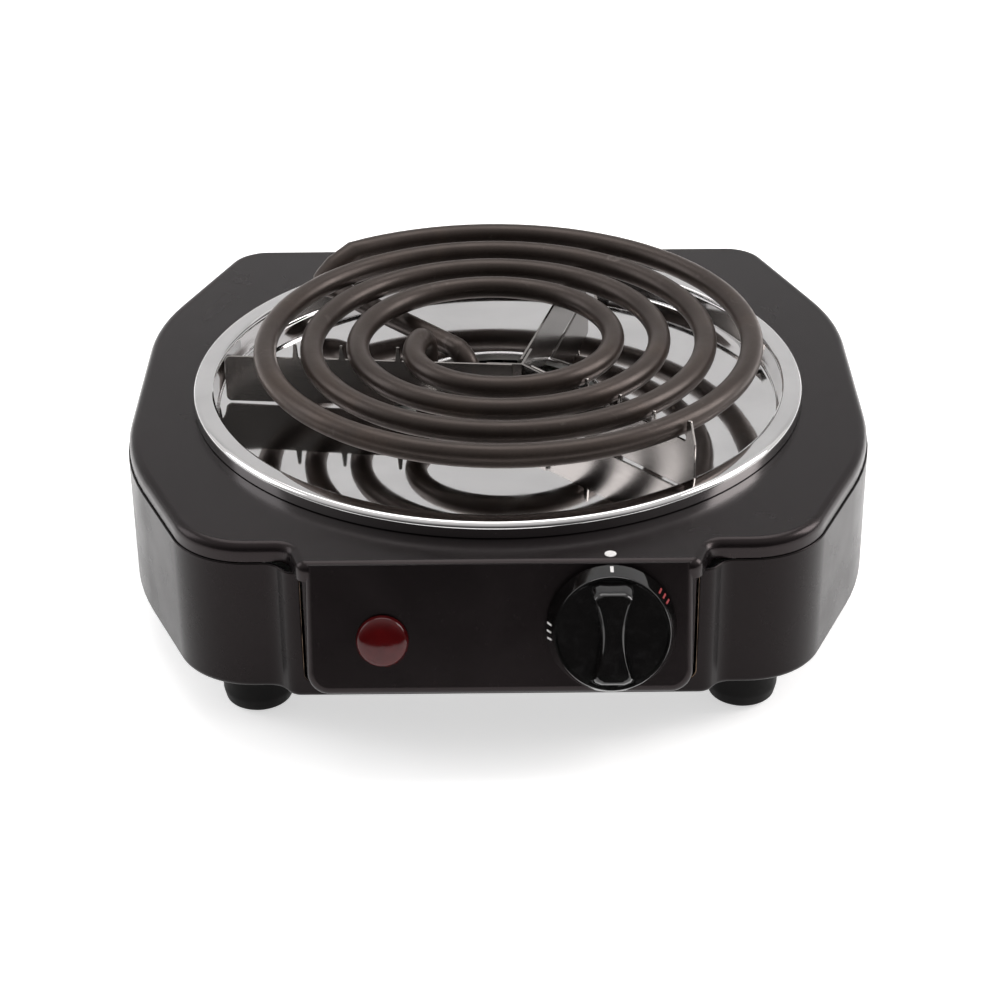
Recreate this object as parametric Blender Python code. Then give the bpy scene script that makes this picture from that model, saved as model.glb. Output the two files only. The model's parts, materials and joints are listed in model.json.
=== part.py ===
"""Portable electric hot plate with one coil burner, as an assembly of separate pieces.

Lengths are millimetres until add_mesh and empty turn them into metres. The working frame has the
pan's axis at x = y = 0 and the ground at z = 0, with the control panel facing -Y. The empty
"burner" shifts that frame along Y, so that the origin is the middle of the whole object's base.
"""
import math

import bmesh
import bpy
from mathutils import Matrix, Vector

MM = 0.001
SHEET = 1.0                     # pressed steel of the two body shells
GAP = 0.3                       # clearance between neighbouring pieces
TURN = 2 * math.pi

# Body shells
SIDE_X = 113.4                  # half the body's width
REAR_Y = 108.0
CHEEK_Y = -97.8                 # front wall beside the control panel
NOTCH_Y = -103.2                # front wall where it meets the panel
FLOOR_Z = 14.25
SEAM_Z = 56.0                   # top edge of the lower shell
COVER_Z = 61.75                 # top face of the cover
COVER_INSET = 0.5               # the cover stands back from the wall below it
COVER_EDGE = 3.0                # radius of the cover's rounded edge
BASE_EDGE = 2.0                 # radius along the bottom of the lower shell
NOTCH_HALF = 56.1               # half width of the lower shell's opening for the panel
NOTCH_Z = 19.5

# Control panel, part of the cover. Its own frame has x across, y up the face, z out of it
LEAN = math.radians(18)         # the face leans back from the vertical
FACE_Y = -118.8                 # lower edge of the flat face
FACE_Z = 27.9
FACE_HALF = 51.8
FACE_CORNER = 4.2
FACE_EDGE = 2.2                 # radius from the face into the sides
PANEL_TOP_V = 60.0              # the tray is made this tall, then cut off inside the cover
PANEL_BACK_Y = -100.0           # where the panel's sides end, inside the body
PANEL_BACK_HALF = 55.6
PANEL_BACK_Z = 20.0
# The cover's front edge, placed so that its rounding runs into the leaning face
ROUNDING_Z = COVER_Z - COVER_EDGE * (1 - math.sin(LEAN))
ROUNDING_Y = FACE_Y + (ROUNDING_Z - FACE_Z) * math.tan(LEAN)
NOSE_TUCK = 0.08                # keeps the two surfaces apart, so that they join cleanly
NOSE_Y = ROUNDING_Y - COVER_EDGE * (1 - math.cos(LEAN)) - COVER_INSET + NOSE_TUCK

# Pan, ring and coil
COVER_HOLE_R = 89.6             # the cover's round opening, inside the ring
RING_R = 95.0
RING_Z = 66.5
RING_INNER_R = 88.7
RING_SHEET = 0.7
PAN_SHEET = 0.6
PAN_HOLE_R = 33.0
PAN_FLOOR_Z = 57.3              # at the hole; the tray rises a little towards its edge
TRAY_R = 84.5
TRAY_Z = 57.9
TUBE_R = 3.5
COIL_Z = 77.7                   # height of the tube's centre line
COIL_R = 79.1                   # centre line's radius on the +X side, in the outer turn
COIL_PITCH = 14.35
COIL_START = -0.347             # turns, counted clockwise from +X
COIL_END = 3.5
TUCK_START = 3.3                # from here the last stretch draws in
TUCK = 4.4                      # and this much, beyond the pitch, by its end
LEG_Z = 69.2                    # centre line of the lead that runs under the coil
LEG_END_Z = 43.0
TERMINAL_Z = 33.2               # where the wires meet the coil's terminals
LEG_BEND_R = 7.0                # centre line's radius where the inner end turns down
COIL_STEPS = 28                 # points in each turn
OUTER_LEG = (-8.6, 7.2)         # where the tube's outer end goes down through the pan
BRACKET_SCREW = (41.0, 11.5)    # the strap's two screws, one on each side
STRAP_Y = (-2.0, 25.0)          # front and rear edges of the strap under the pan
STRAP_T = 1.0
STRAP_HALF = 37.2               # where the strap's raised ends begin
STRAP_END = 45.0
STRAP_DROP = 6.4                # from its ends down to its middle
HUB = (7.6, -8.3)               # where the three support blades meet
BLADE_ANGLES = {"left": 175.0, "front": -48.5, "rear": 74.4}
BLADE_TOP = 73.9
BLADE_BOTTOM = 58.4
BLADE_END_R = 85.0              # how far from the pan's axis the blades end
BLADE_T = 0.8
BLADE_START = 3.0               # the blades begin this far from the hub's middle
BLADE_NIP = 1.2                 # cut off the blades' outer corners
HUB_ARM = 11.0
BLADE_SIDE = 0.7                # each blade lies this far beside its arm of the hub
HOOK_GAP = 0.6                  # between a hook and the turn inside it
HOOK_FOOT = 1.8                 # width of a hook at its foot
HOOK_TIP = (0.4, 1.4)           # from the foot's inner edge to both edges of the tip
HOOK_TOP = 78.6
TALL_HOOK_FOOT = 1.9
TALL_HOOK_TOP = 80.9

# Feet and the posts that tie the shells together
FOOT_X = 71.6
FOOT_FRONT_Y = -81.0
FOOT_REAR_Y = 83.0
FOOT_R = 10.6
FOOT_HOLE_R = 2.3
SCREW_HOLE_R = 1.8              # clearance hole for every small screw

# Bottom plate
PLATE_HALF = (85.0, 64.0)
PLATE_LAP = 7.0
PLATE_T = 0.8
PLATE_SCREW_X = 45.0
PLATE_SCREW_EDGE = 3.5          # from the plate's front and rear edges to its screws
VENT_PITCH = 14.0
VENT_ROW_Y = 26.0

# Controls, in the panel's frame
KNOB_X = 31.0
KNOB_V = 17.1
KNOB_BASE_R = 18.1
KNOB_FACE_R = 16.3
KNOB_LIFT = 1.9                 # back of the knob above the face
KNOB_FACE_W = 8.6
GRIP_W = 15.0
GRIP_END = 11.8                 # half length of the grip along its top
SHAFT_R = 3.0
SHAFT_HOLE_R = 4.6
SWITCH_SCREW_X = 10.0           # thermostat's screws, from the knob's axis
TAB_X = 9.0                     # thermostat's tabs, from the knob's axis
TAB_V = -4.0
LENS_X = -32.7
LENS_V = 13.6
LENS_R = 7.3
LENS_HOLE_R = 5.6

# Rear
GLAND_X = 40.0
GLAND_Z = 30.0
CORD_R = 3.6
GLAND_HOLE_R = 5.8
GLAND_REACH = 4.0               # the gland stands this far out of the rear wall
MAINS_SPOT = (20.0, 84.0)
EARTH_SPOT = (-4.0, 84.0)
EARTH_HOLE_R = 2.0

REAR_REACH = REAR_Y + GLAND_REACH
# Lower end of the knob's grip, the foremost point
FRONT_REACH = GRIP_W * math.cos(LEAN) - (KNOB_V - GRIP_END) * math.sin(LEAN) - FACE_Y
PAN_Y = (FRONT_REACH - REAR_REACH) / 2


# ---------------------------------------------------------------- shapes
def clear_scene():
    for item in list(bpy.data.objects):
        bpy.data.objects.remove(item)


def material(name, colour, roughness, metallic):
    mat = bpy.data.materials.new(name)
    mat.use_nodes = True
    shader = mat.node_tree.nodes["Principled BSDF"]
    shader.inputs["Base Color"].default_value = (*colour, 1.0)
    shader.inputs["Roughness"].default_value = roughness
    shader.inputs["Metallic"].default_value = metallic
    mat.diffuse_color = (*colour, 1.0)
    return mat


def empty(name, location, parent=None, turn_x=0.0):
    item = bpy.data.objects.new(name, None)
    item.location = Vector(location) * MM
    item.rotation_euler = (turn_x, 0.0, 0.0)
    item.parent = parent
    bpy.context.scene.collection.objects.link(item)
    return item


def add_mesh(name, points, faces, mat, parent, location=(0, 0, 0), turn_z=0.0, turn_x=0.0):
    """One closed mesh object from points in millimetres; its faces are turned outwards."""
    mesh = bpy.data.meshes.new(name)
    shape = bmesh.new()
    verts = [shape.verts.new(Vector(point) * MM) for point in points]
    for face in faces:
        shape.faces.new([verts[index] for index in face])
    bmesh.ops.recalc_face_normals(shape, faces=shape.faces)
    shape.to_mesh(mesh)
    shape.free()
    mesh.shade_smooth()
    mesh.set_sharp_from_angle(angle=math.radians(35))
    mesh.materials.append(mat)
    item = bpy.data.objects.new(name, mesh)
    item.location = Vector(location) * MM
    item.rotation_euler = (turn_x, 0.0, turn_z)
    item.parent = parent
    bpy.context.scene.collection.objects.link(item)
    return item


def loft(name, loops, mat, parent, **place):
    """Skin a list of equal loops and close both ends with a flat cap."""
    count = len(loops[0])
    points = [point for loop in loops for point in loop]
    faces = [list(range(count)), list(range((len(loops) - 1) * count, len(loops) * count))]
    for row in range(len(loops) - 1):
        start = row * count
        for i in range(count):
            j = (i + 1) % count
            faces.append([start + i, start + j, start + count + j, start + count + i])
    return add_mesh(name, points, faces, mat, parent, **place)


def extrude(name, outline, low, high, mat, parent, **place):
    loops = [[(x, y, z) for x, y in outline] for z in (low, high)]
    return loft(name, loops, mat, parent, **place)


def turned(name, profile, mat, parent, segments=24, **place):
    """Turn a closed (radius, z) profile about Z; points with radius 0 are on the axis."""
    points = []
    rings = []
    for radius, z in profile:
        if radius == 0:
            rings.append([len(points)] * segments)
            points.append((0, 0, z))
            continue
        rings.append([len(points) + i for i in range(segments)])
        for i in range(segments):
            angle = TURN * i / segments
            points.append((radius * math.cos(angle), radius * math.sin(angle), z))
    faces = []
    for row, ring in enumerate(rings):
        after = rings[(row + 1) % len(rings)]
        for i in range(segments):
            j = (i + 1) % segments
            corners = []
            for index in (ring[i], ring[j], after[j], after[i]):
                if index not in corners:
                    corners.append(index)
            if len(corners) > 2:
                faces.append(corners)
    return add_mesh(name, points, faces, mat, parent, **place)


def tube(name, route, radius, sides, mat, parent, **place):
    """Sweep a circle along a route, carrying its frame along without twist."""
    route = [Vector(point) for point in route]
    side = None
    loops = []
    for i, point in enumerate(route):
        ahead = route[min(i + 1, len(route) - 1)] - route[max(i - 1, 0)]
        ahead.normalize()
        if side is None:
            side = ahead.orthogonal()
        side = (side - ahead * side.dot(ahead)).normalized()
        up = ahead.cross(side)
        loop = []
        for k in range(sides):
            angle = TURN * k / sides
            loop.append(point + radius * (math.cos(angle) * side + math.sin(angle) * up))
        loops.append(loop)
    return loft(name, loops, mat, parent, **place)


def box(name, size, centre, mat, parent, **place):
    half = [length / 2 for length in size]
    outline = [(sx * half[0] + centre[0], sy * half[1] + centre[1])
               for sx, sy in ((-1, -1), (1, -1), (1, 1), (-1, 1))]
    return extrude(name, outline, centre[2] - half[2], centre[2] + half[2], mat, parent, **place)


def fillet_loop(corners, step=math.radians(15)):
    """Closed outline through (x, y, radius) corners, each corner an arc of its radius."""
    outline = []
    for i, (x, y, radius) in enumerate(corners):
        here = Vector((x, y))
        back = (Vector(corners[i - 1][:2]) - here).normalized()
        ahead = (Vector(corners[(i + 1) % len(corners)][:2]) - here).normalized()
        bend = math.pi - back.angle(ahead)
        reach = radius * math.tan(bend / 2)
        centre = here + (back + ahead).normalized() * radius / math.cos(bend / 2)
        first = here + back * reach - centre
        sign = 1 if (-back).cross(ahead) > 0 else -1
        count = max(2, math.ceil(bend / step))
        for k in range(count + 1):
            turn = Matrix.Rotation(sign * bend * k / count, 2)
            outline.append(tuple(centre + turn @ first))
    return outline


def inset(outline, distance):
    """Move an anticlockwise outline inwards by a distance."""
    moved = []
    for i, point in enumerate(outline):
        here = Vector(point)
        before = (here - Vector(outline[i - 1])).normalized()
        after = (Vector(outline[(i + 1) % len(outline)]) - here).normalized()
        along = (before + after).normalized()
        normal = Vector((-along.y, along.x))
        moved.append(tuple(here + normal * distance / max(0.3, along.dot(after))))
    return moved


def sheet_profile(line, thickness):
    """Closed profile of a sheet whose outer face follows a (radius, z) line."""
    under = []
    for i, point in enumerate(line):
        here = Vector(point)
        before = (here - Vector(line[i - 1])).normalized() if i else None
        after = (Vector(line[i + 1]) - here).normalized() if i + 1 < len(line) else None
        along = ((before or after) + (after or before)).normalized()
        lean = along.dot(after or before)
        under.append(tuple(here + Vector((-along.y, along.x)) * thickness / lean))
    return list(line) + under[::-1]


def smooth_route(points, step):
    """Catmull-Rom curve through the points, about one sample per step."""
    points = [Vector(point) for point in points]
    padded = [2 * points[0] - points[1], *points, 2 * points[-1] - points[-2]]
    route = []
    for i in range(1, len(padded) - 2):
        a, b, c, d = padded[i - 1:i + 3]
        count = max(1, round((c - b).length / step))
        for k in range(count):
            t = k / count
            route.append(0.5 * (2 * b + (c - a) * t + (2 * a - 5 * b + 4 * c - d) * t * t
                                + (3 * b - a - 3 * c + d) * t ** 3))
    route.append(points[-1])
    return route


def cut(target, cutter):
    cutter.hide_render = True
    cutter.display_type = "WIRE"
    change = target.modifiers.new(cutter.name, "BOOLEAN")
    change.operation = "DIFFERENCE"
    change.object = cutter


def join(target, addition):
    addition.hide_render = True
    addition.display_type = "WIRE"
    change = target.modifiers.new(addition.name, "BOOLEAN")
    change.operation = "UNION"
    change.object = addition


def drill(target, radius, low, high, mat, parent, location=(0, 0, 0), segments=16):
    """Cut a round hole along the parent's Z between two heights."""
    profile = [(0, low), (radius, low), (radius, high), (0, high)]
    name = f"drill_{target.name}_{len(target.modifiers)}"
    cut(target, turned(name, profile, mat, parent, segments, location=location))


def arc(radius, start, end, count):
    """Points (cosine, sine) * radius from one angle in degrees to another."""
    angles = [math.radians(start + (end - start) * k / count) for k in range(count + 1)]
    return [(radius * math.cos(angle), radius * math.sin(angle)) for angle in angles]


# ---------------------------------------------------------------- body shells
def body_outline(shoulder_x, front_x, front_y, shoulder_r, front_r):
    """Plan of a shell, anticlockwise, with its nose given by one shoulder and one front corner."""
    right = [(front_x, front_y, front_r), (shoulder_x, CHEEK_Y, shoulder_r), (87.0, CHEEK_Y, 24.7),
             (SIDE_X, -38.8, 95.0), (SIDE_X, 48.4, 85.0), (89.4, REAR_Y, 14.0)]
    left = [(-x, y, radius) for x, y, radius in reversed(right)]
    return fillet_loop(right + left)


def at_height(outline, z):
    return [(x, y, z) for x, y in outline]


def make_base_shell(paint, frame):
    plan = body_outline(64.0, 59.5, NOTCH_Y, 6.0, 5.0)
    loops = []
    for side, height in arc(BASE_EDGE, 90, 0, 3):
        loops.append(at_height(inset(plan, BASE_EDGE - side), FLOOR_Z + BASE_EDGE - height))
    loops.append(at_height(plan, SEAM_Z))
    inner = inset(plan, SHEET)
    loops.append(at_height(inner, SEAM_Z))
    loops.append(at_height(inner, FLOOR_Z + BASE_EDGE))
    loops.append(at_height(inset(plan, BASE_EDGE), FLOOR_Z + SHEET))
    base = loft("base_shell", loops, paint, frame)
    notch = [(-NOTCH_HALF, -130), (NOTCH_HALF, -130), (NOTCH_HALF, -90), (-NOTCH_HALF, -90)]
    cut(base, extrude("cut_base_notch", notch, NOTCH_Z, SEAM_Z + 10, paint, frame))
    opening = rounded_plate(PLATE_HALF[0] - PLATE_LAP, PLATE_HALF[1] - PLATE_LAP, 22.0)
    cut(base, extrude("cut_base_opening", opening, FLOOR_Z - 5, FLOOR_Z + 5, paint, frame))
    for x, y in foot_places():
        drill(base, FOOT_HOLE_R, FLOOR_Z - 5, FLOOR_Z + 5, paint, frame, (x, y, 0), 12)
    for x, y in plate_screw_places():
        drill(base, SCREW_HOLE_R, FLOOR_Z - 5, FLOOR_Z + 5, paint, frame, (x, y, 0), 10)
    drill(base, EARTH_HOLE_R, FLOOR_Z - 5, FLOOR_Z + 5, paint, frame, (*EARTH_SPOT, 0), 10)
    hole = [(0, -8), (GLAND_HOLE_R, -8), (GLAND_HOLE_R, 8), (0, 8)]
    cut(base, turned("cut_base_gland", hole, paint, frame, 24,
                     location=(GLAND_X, REAR_Y, GLAND_Z), turn_x=math.pi / 2))
    return base


def rounded_plate(half_x, half_y, radius, step=math.radians(15)):
    signs = ((1, -1), (1, 1), (-1, 1), (-1, -1))
    return fillet_loop([(sx * half_x, sy * half_y, radius) for sx, sy in signs], step)


def foot_places():
    return [(sx * FOOT_X, y) for y in (FOOT_FRONT_Y, FOOT_REAR_Y) for sx in (-1, 1)]


def plate_screw_places():
    y = PLATE_HALF[1] - PLATE_SCREW_EDGE
    return [(sx * PLATE_SCREW_X, sy * y) for sy in (-1, 1) for sx in (-1, 1)]


def make_bottom_plate(steel, frame):
    top = FLOOR_Z - GAP
    plate = extrude("bottom_plate", rounded_plate(*PLATE_HALF, 25.0), top - PLATE_T, top, steel, frame)
    for row in (-1, 1):
        for k in range(-3, 4):
            slot = rounded_plate(1.6, 13.0, 1.5, math.radians(45))
            vent = extrude(f"cut_vent_{row}_{k}", slot, top - 5, top + 5, steel, frame,
                           location=(k * VENT_PITCH, row * VENT_ROW_Y, 0))
            cut(plate, vent)
    for x, y in plate_screw_places():
        drill(plate, SCREW_HOLE_R, top - 5, top + 5, steel, frame, (x, y, 0), 10)
    return plate


def panel_point(u, v, w):
    """A point of the panel's own frame, in the working frame."""
    return Vector((u, FACE_Y + v * math.sin(LEAN) - w * math.cos(LEAN),
                   FACE_Z + v * math.cos(LEAN) + w * math.sin(LEAN)))


def panel_loop(outset, w, top=PANEL_TOP_V):
    """Outline of the face grown by outset, at height w; its top runs on past the cover."""
    corners = [(-FACE_HALF - outset, -outset, FACE_CORNER + outset),
               (FACE_HALF + outset, -outset, FACE_CORNER + outset),
               (FACE_HALF + outset, top, 1.0), (-FACE_HALF - outset, top, 1.0)]
    return [tuple(panel_point(u, v, w)) for u, v in fillet_loop(corners)]


def panel_back_loop(shrink):
    """The same outline carried back to the vertical plane where the panel's sides end."""
    wide = (PANEL_BACK_HALF - shrink) / (FACE_HALF + FACE_EDGE)
    low = PANEL_BACK_Z + shrink
    lowest = min(point[2] for point in panel_loop(FACE_EDGE, -FACE_EDGE))
    top = PANEL_TOP_V - shrink * 4
    return [(x * wide, PANEL_BACK_Y, low + z - lowest)
            for x, y, z in panel_loop(FACE_EDGE, -FACE_EDGE, top)]


def make_panel_tray(paint, frame):
    outer = [panel_loop(side, height - FACE_EDGE) for side, height in arc(FACE_EDGE, 90, 0, 4)]
    inner_edge = FACE_EDGE - SHEET
    inner = [panel_loop(side, height - FACE_EDGE, PANEL_TOP_V - SHEET)
             for side, height in arc(inner_edge, 90, 0, 2)]
    loops = outer + [panel_back_loop(0.0), panel_back_loop(SHEET)] + inner[::-1]
    tray = loft("add_panel", loops, paint, frame)
    trim = box("cut_panel_top", (140, 60, 40), (0, -115, COVER_Z - SHEET / 2 + 20), paint, frame)
    cut(tray, trim)
    return tray


def make_top_cover(paint, frame, panel):
    plan = body_outline(60.0, 56.3, NOSE_Y, 4.0, 4.5)
    skin = inset(plan, COVER_INSET)
    loops = [at_height(inset(skin, COVER_EDGE - side), COVER_Z - COVER_EDGE + height)
             for side, height in arc(COVER_EDGE, 90, 0, 4)]
    loops.append(at_height(skin, SEAM_Z + GAP))
    loops.append(at_height(inset(skin, SHEET), SEAM_Z + GAP))
    inner_edge = COVER_EDGE - SHEET
    loops += [at_height(inset(skin, COVER_EDGE - side), COVER_Z - COVER_EDGE + height)
              for side, height in arc(inner_edge, 0, 90, 3)]
    cover = loft("top_cover", loops, paint, frame)
    drill(cover, COVER_HOLE_R, COVER_Z - 5, COVER_Z + 5, paint, frame, segments=48)
    join(cover, make_panel_tray(paint, frame))
    drill(cover, SHAFT_HOLE_R, -3, 3, paint, panel, (KNOB_X, KNOB_V, 0))
    for side in (-1, 1):
        drill(cover, SCREW_HOLE_R, -3, 3, paint, panel, (KNOB_X + side * SWITCH_SCREW_X, KNOB_V, 0), 10)
    drill(cover, LENS_HOLE_R, -3, 3, paint, panel, (LENS_X, LENS_V, 0))
    return cover


# ---------------------------------------------------------------- feet and fasteners
def screw(name, head_r, head_low, head_high, shank_r, shank_end, mat, parent, **place):
    """A pan-head screw; the shank runs from the head to shank_end."""
    up = shank_end > head_high
    near, far = (head_low, head_high) if up else (head_high, head_low)
    crown = 0.4 if up else -0.4
    profile = [(0, near), (head_r * 0.75, near), (head_r, near + crown), (head_r, far),
               (shank_r, far), (shank_r, shank_end), (0, shank_end)]
    return turned(name, profile, mat, parent, 12, **place)


def make_feet(rubber, steel, frame):
    top = FLOOR_Z - GAP
    names = ("front_left", "front_right", "rear_left", "rear_right")
    profile = [(4.6, 0.0), (FOOT_R - 3.2, 0.0), (FOOT_R - 1.4, 0.9), (FOOT_R - 0.4, 2.8),
               (FOOT_R, top - 1.0), (FOOT_R - 0.6, top), (2.3, top), (2.3, 11.5), (4.6, 11.5)]
    post = [(2.2, FLOOR_Z + SHEET + GAP), (4.0, FLOOR_Z + SHEET + GAP),
            (4.0, COVER_Z - SHEET - GAP), (2.2, COVER_Z - SHEET - GAP)]
    for place, (x, y) in zip(names, foot_places()):
        turned(f"foot_{place}", profile, rubber, frame, 16, location=(x, y, 0))
        screw(f"foot_screw_{place}", 3.6, 8.9, 11.2, 1.9, 26.0, steel, frame, location=(x, y, 0))
        turned(f"tie_post_{place}", post, steel, frame, 12, location=(x, y, 0))
    low = FLOOR_Z - GAP - PLATE_T - GAP
    for place, (x, y) in zip(names, plate_screw_places()):
        screw(f"plate_screw_{place}", 3.0, low - 2.0, low, 1.4, 20.0, steel, frame, location=(x, y, 0))


# ---------------------------------------------------------------- pan, ring and coil
def make_trim_ring(chrome, frame):
    line = [(RING_R, COVER_Z + GAP), (RING_R, RING_Z - 1.4), (RING_R - 0.4, RING_Z - 0.4),
            (RING_R - 1.4, RING_Z), (RING_INNER_R + 0.5, RING_Z), (RING_INNER_R, RING_Z - 0.3)]
    return turned("trim_ring", sheet_profile(line, RING_SHEET), chrome, frame, 40)


def make_drip_pan(chrome, frame):
    lip = [(93.7, COVER_Z + GAP), (93.7, 64.8), (93.2, 65.3), (89.4, 65.3), (88.6, 64.6),
           (87.9, 60.4), (87.0, 58.7), (TRAY_R, TRAY_Z)]
    rim = [(PAN_HOLE_R + 0.8, PAN_FLOOR_Z), (PAN_HOLE_R, PAN_FLOOR_Z - 0.8),
           (PAN_HOLE_R, PAN_FLOOR_Z - 2.6)]
    pan = turned("drip_pan", sheet_profile(lip + rim, PAN_SHEET), chrome, frame, 40)
    for side in (-1, 1):
        spot = (side * BRACKET_SCREW[0], BRACKET_SCREW[1], 0)
        drill(pan, SCREW_HOLE_R, PAN_FLOOR_Z - 5, PAN_FLOOR_Z + 5, chrome, frame, spot, 10)
    return pan


def coil_point(turns):
    angle = -TURN * turns
    tucked = max(0.0, (turns - TUCK_START) / (COIL_END - TUCK_START))
    radius = COIL_R - COIL_PITCH * turns - TUCK * tucked ** 2
    return Vector((radius * math.cos(angle), radius * math.sin(angle), COIL_Z))


def inner_leg():
    """Plan position where the coil's inner end has turned straight down."""
    end = coil_point(COIL_END)
    ahead = (end - coil_point(COIL_END - 0.01)).normalized()
    return end + ahead * LEG_BEND_R


def outer_lead():
    """From the tube's outer foot, up and under the turns, then up into the outermost one."""
    start = coil_point(COIL_START)
    back = (start - coil_point(COIL_START + 0.01)).normalized()
    foot = Vector((*OUTER_LEG, 0))
    dive = start + back * 12 + Vector((0, 0, LEG_Z - COIL_Z))
    inward = foot - dive
    inward.z = 0
    inward.normalize()
    top = foot + Vector((0, 0, LEG_Z))
    rise = [foot + Vector((0, 0, z)) for z in (LEG_END_Z, 52, 61)]
    under = [top - inward * 0.8 - Vector((0, 0, 4)), top - inward * 5 - Vector((0, 0, 0.6)),
             top - inward * 11, dive + inward * 22]
    climb = [dive + inward * 8 - back, dive + inward * 2 + back * 1.5 + Vector((0, 0, 0.8)),
             start + back * 7.5 + inward * 0.3 - Vector((0, 0, 3.2))]
    return rise + under + climb


def coil_route():
    """Centre line from the outer lead's foot, round the spiral, to the inner lead's foot."""
    turns = COIL_END - COIL_START
    count = round(turns * COIL_STEPS)
    spiral = [coil_point(COIL_START + turns * k / count) for k in range(count + 1)]
    bend = inner_leg()
    ahead = (bend - spiral[-1]).normalized()
    drop = [spiral[-1] + ahead * side + Vector((0, 0, height - LEG_BEND_R))
            for side, height in arc(LEG_BEND_R, 90, 0, 6)]
    down = [Vector((bend.x, bend.y, z)) for z in (60.0, LEG_END_Z)]
    return smooth_route(outer_lead(), 6.0) + spiral + drop[1:] + down


def make_coil(sheath, ceramic, brass, frame):
    tube("heating_coil", coil_route(), TUBE_R, 8, sheath, frame)
    leg = inner_leg()
    for place, (x, y) in (("outer", OUTER_LEG), ("inner", (leg.x, leg.y))):
        top = LEG_END_Z - GAP
        seal = [(1.5, LEG_END_Z - 5.5), (3.3, LEG_END_Z - 5.5), (3.3, top), (1.5, top)]
        turned(f"coil_seal_{place}", seal, ceramic, frame, 12, location=(x, y, 0))
        low, nut = TERMINAL_Z - 2.0, TERMINAL_Z + 2.2
        pin = [(0, low), (1.2, low), (1.2, nut), (2.2, nut), (2.2, nut + 1.6), (1.2, nut + 1.6),
               (1.2, top), (0, top)]
        turned(f"coil_terminal_{place}", pin, brass, frame, 10, location=(x, y, 0))


def turn_crossings(along):
    """How far out from the hub each turn of the coil crosses a blade, outermost turn first."""
    found = []
    last = 0.0
    for k in range(round((COIL_END - COIL_START) * 360) + 1):
        offset = coil_point(COIL_START + k / 360).to_2d() - Vector(HUB)
        side = along.cross(offset)
        if side * last < 0 and offset.dot(along) > 0:
            found.append(offset.dot(along))
        last = side
    return found


def blade_outline(angle, tall_hook):
    """Side view of a support blade: distance from the hub across, height up, hooks along the top."""
    along = Vector((math.cos(angle), math.sin(angle)))
    inset_hub = along.dot(Vector(HUB))
    reach = math.sqrt(inset_hub ** 2 - Vector(HUB).length_squared + BLADE_END_R ** 2) - inset_hub
    outline = [(BLADE_START, BLADE_TOP), (BLADE_START, BLADE_BOTTOM), (reach - BLADE_NIP, BLADE_BOTTOM),
               (reach, BLADE_BOTTOM + BLADE_NIP)]
    near, far = HOOK_TIP
    outer, *inner = [distance + TUBE_R + HOOK_GAP for distance in turn_crossings(along)]
    if tall_hook:
        outline += [(reach, BLADE_TOP), (outer + TALL_HOOK_FOOT, TALL_HOOK_TOP),
                    (outer + near, TALL_HOOK_TOP), (outer, BLADE_TOP)]
    else:
        outline += [(reach, BLADE_TOP - BLADE_NIP), (reach - BLADE_NIP, BLADE_TOP)]
    for foot in inner:
        outline += [(foot + HOOK_FOOT, BLADE_TOP), (foot + far, HOOK_TOP), (foot + near, HOOK_TOP),
                    (foot, BLADE_TOP)]
    return outline


def hub_star():
    """Plan of the hub: three thin arms, with a corner between each arm and the one before it."""
    half = BLADE_T / 2
    angles = sorted(math.radians(angle) for angle in BLADE_ANGLES.values())
    star = []
    for i, angle in enumerate(angles):
        between = (angle - angles[i - 1]) % TURN / 2
        turn = Matrix.Rotation(angle, 2)
        corner = Matrix.Rotation(angle - between, 2) @ Vector((half / math.sin(between), 0))
        star += [tuple(corner), *(tuple(turn @ Vector((HUB_ARM, side))) for side in (-half, half))]
    return star


def make_support(chrome, frame):
    here = (*HUB, 0)
    for place, degrees in BLADE_ANGLES.items():
        angle = math.radians(degrees)
        outline = blade_outline(angle, place == "front")
        loops = [[(r, side, z) for r, z in outline] for side in (BLADE_SIDE, BLADE_SIDE + BLADE_T)]
        loft(f"support_blade_{place}", loops, chrome, frame, location=here, turn_z=angle)
    extrude("support_hub", hub_star(), BLADE_BOTTOM + 0.2, BLADE_TOP - 0.3, chrome, frame, location=here)


def make_element_bracket(steel, frame):
    """Hat-shaped strap under the pan that holds the two ends of the coil."""
    wing = PAN_FLOOR_Z - PAN_SHEET - GAP - 0.2
    strap = wing - STRAP_DROP
    over = [(STRAP_END, wing), (STRAP_HALF + 1.0, wing), (STRAP_HALF, strap)]
    under = [(STRAP_HALF + 0.8, strap - STRAP_T), (STRAP_HALF + 1.8, wing - STRAP_T),
             (STRAP_END, wing - STRAP_T)]
    outline = over + [(-x, z) for x, z in over[::-1] + under[::-1]] + under
    loops = [[(x, y, z) for x, z in outline] for y in STRAP_Y]
    bracket = loft("element_bracket", loops, steel, frame)
    leg = inner_leg()
    for x, y in (OUTER_LEG, (leg.x, leg.y)):
        drill(bracket, TUBE_R + 0.5, strap - 5, strap + 5, steel, frame, (x, y, 0))
    for side, place in ((-1, "left"), (1, "right")):
        spot = (side * BRACKET_SCREW[0], BRACKET_SCREW[1], 0)
        drill(bracket, SCREW_HOLE_R, wing - 5, wing + 5, steel, frame, spot, 10)
        head = PAN_FLOOR_Z + 0.2 + GAP
        screw(f"bracket_screw_{place}", 3.2, head, head + 1.5, 1.4, wing - 5.2, steel, frame,
              location=spot)
    return bracket


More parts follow.
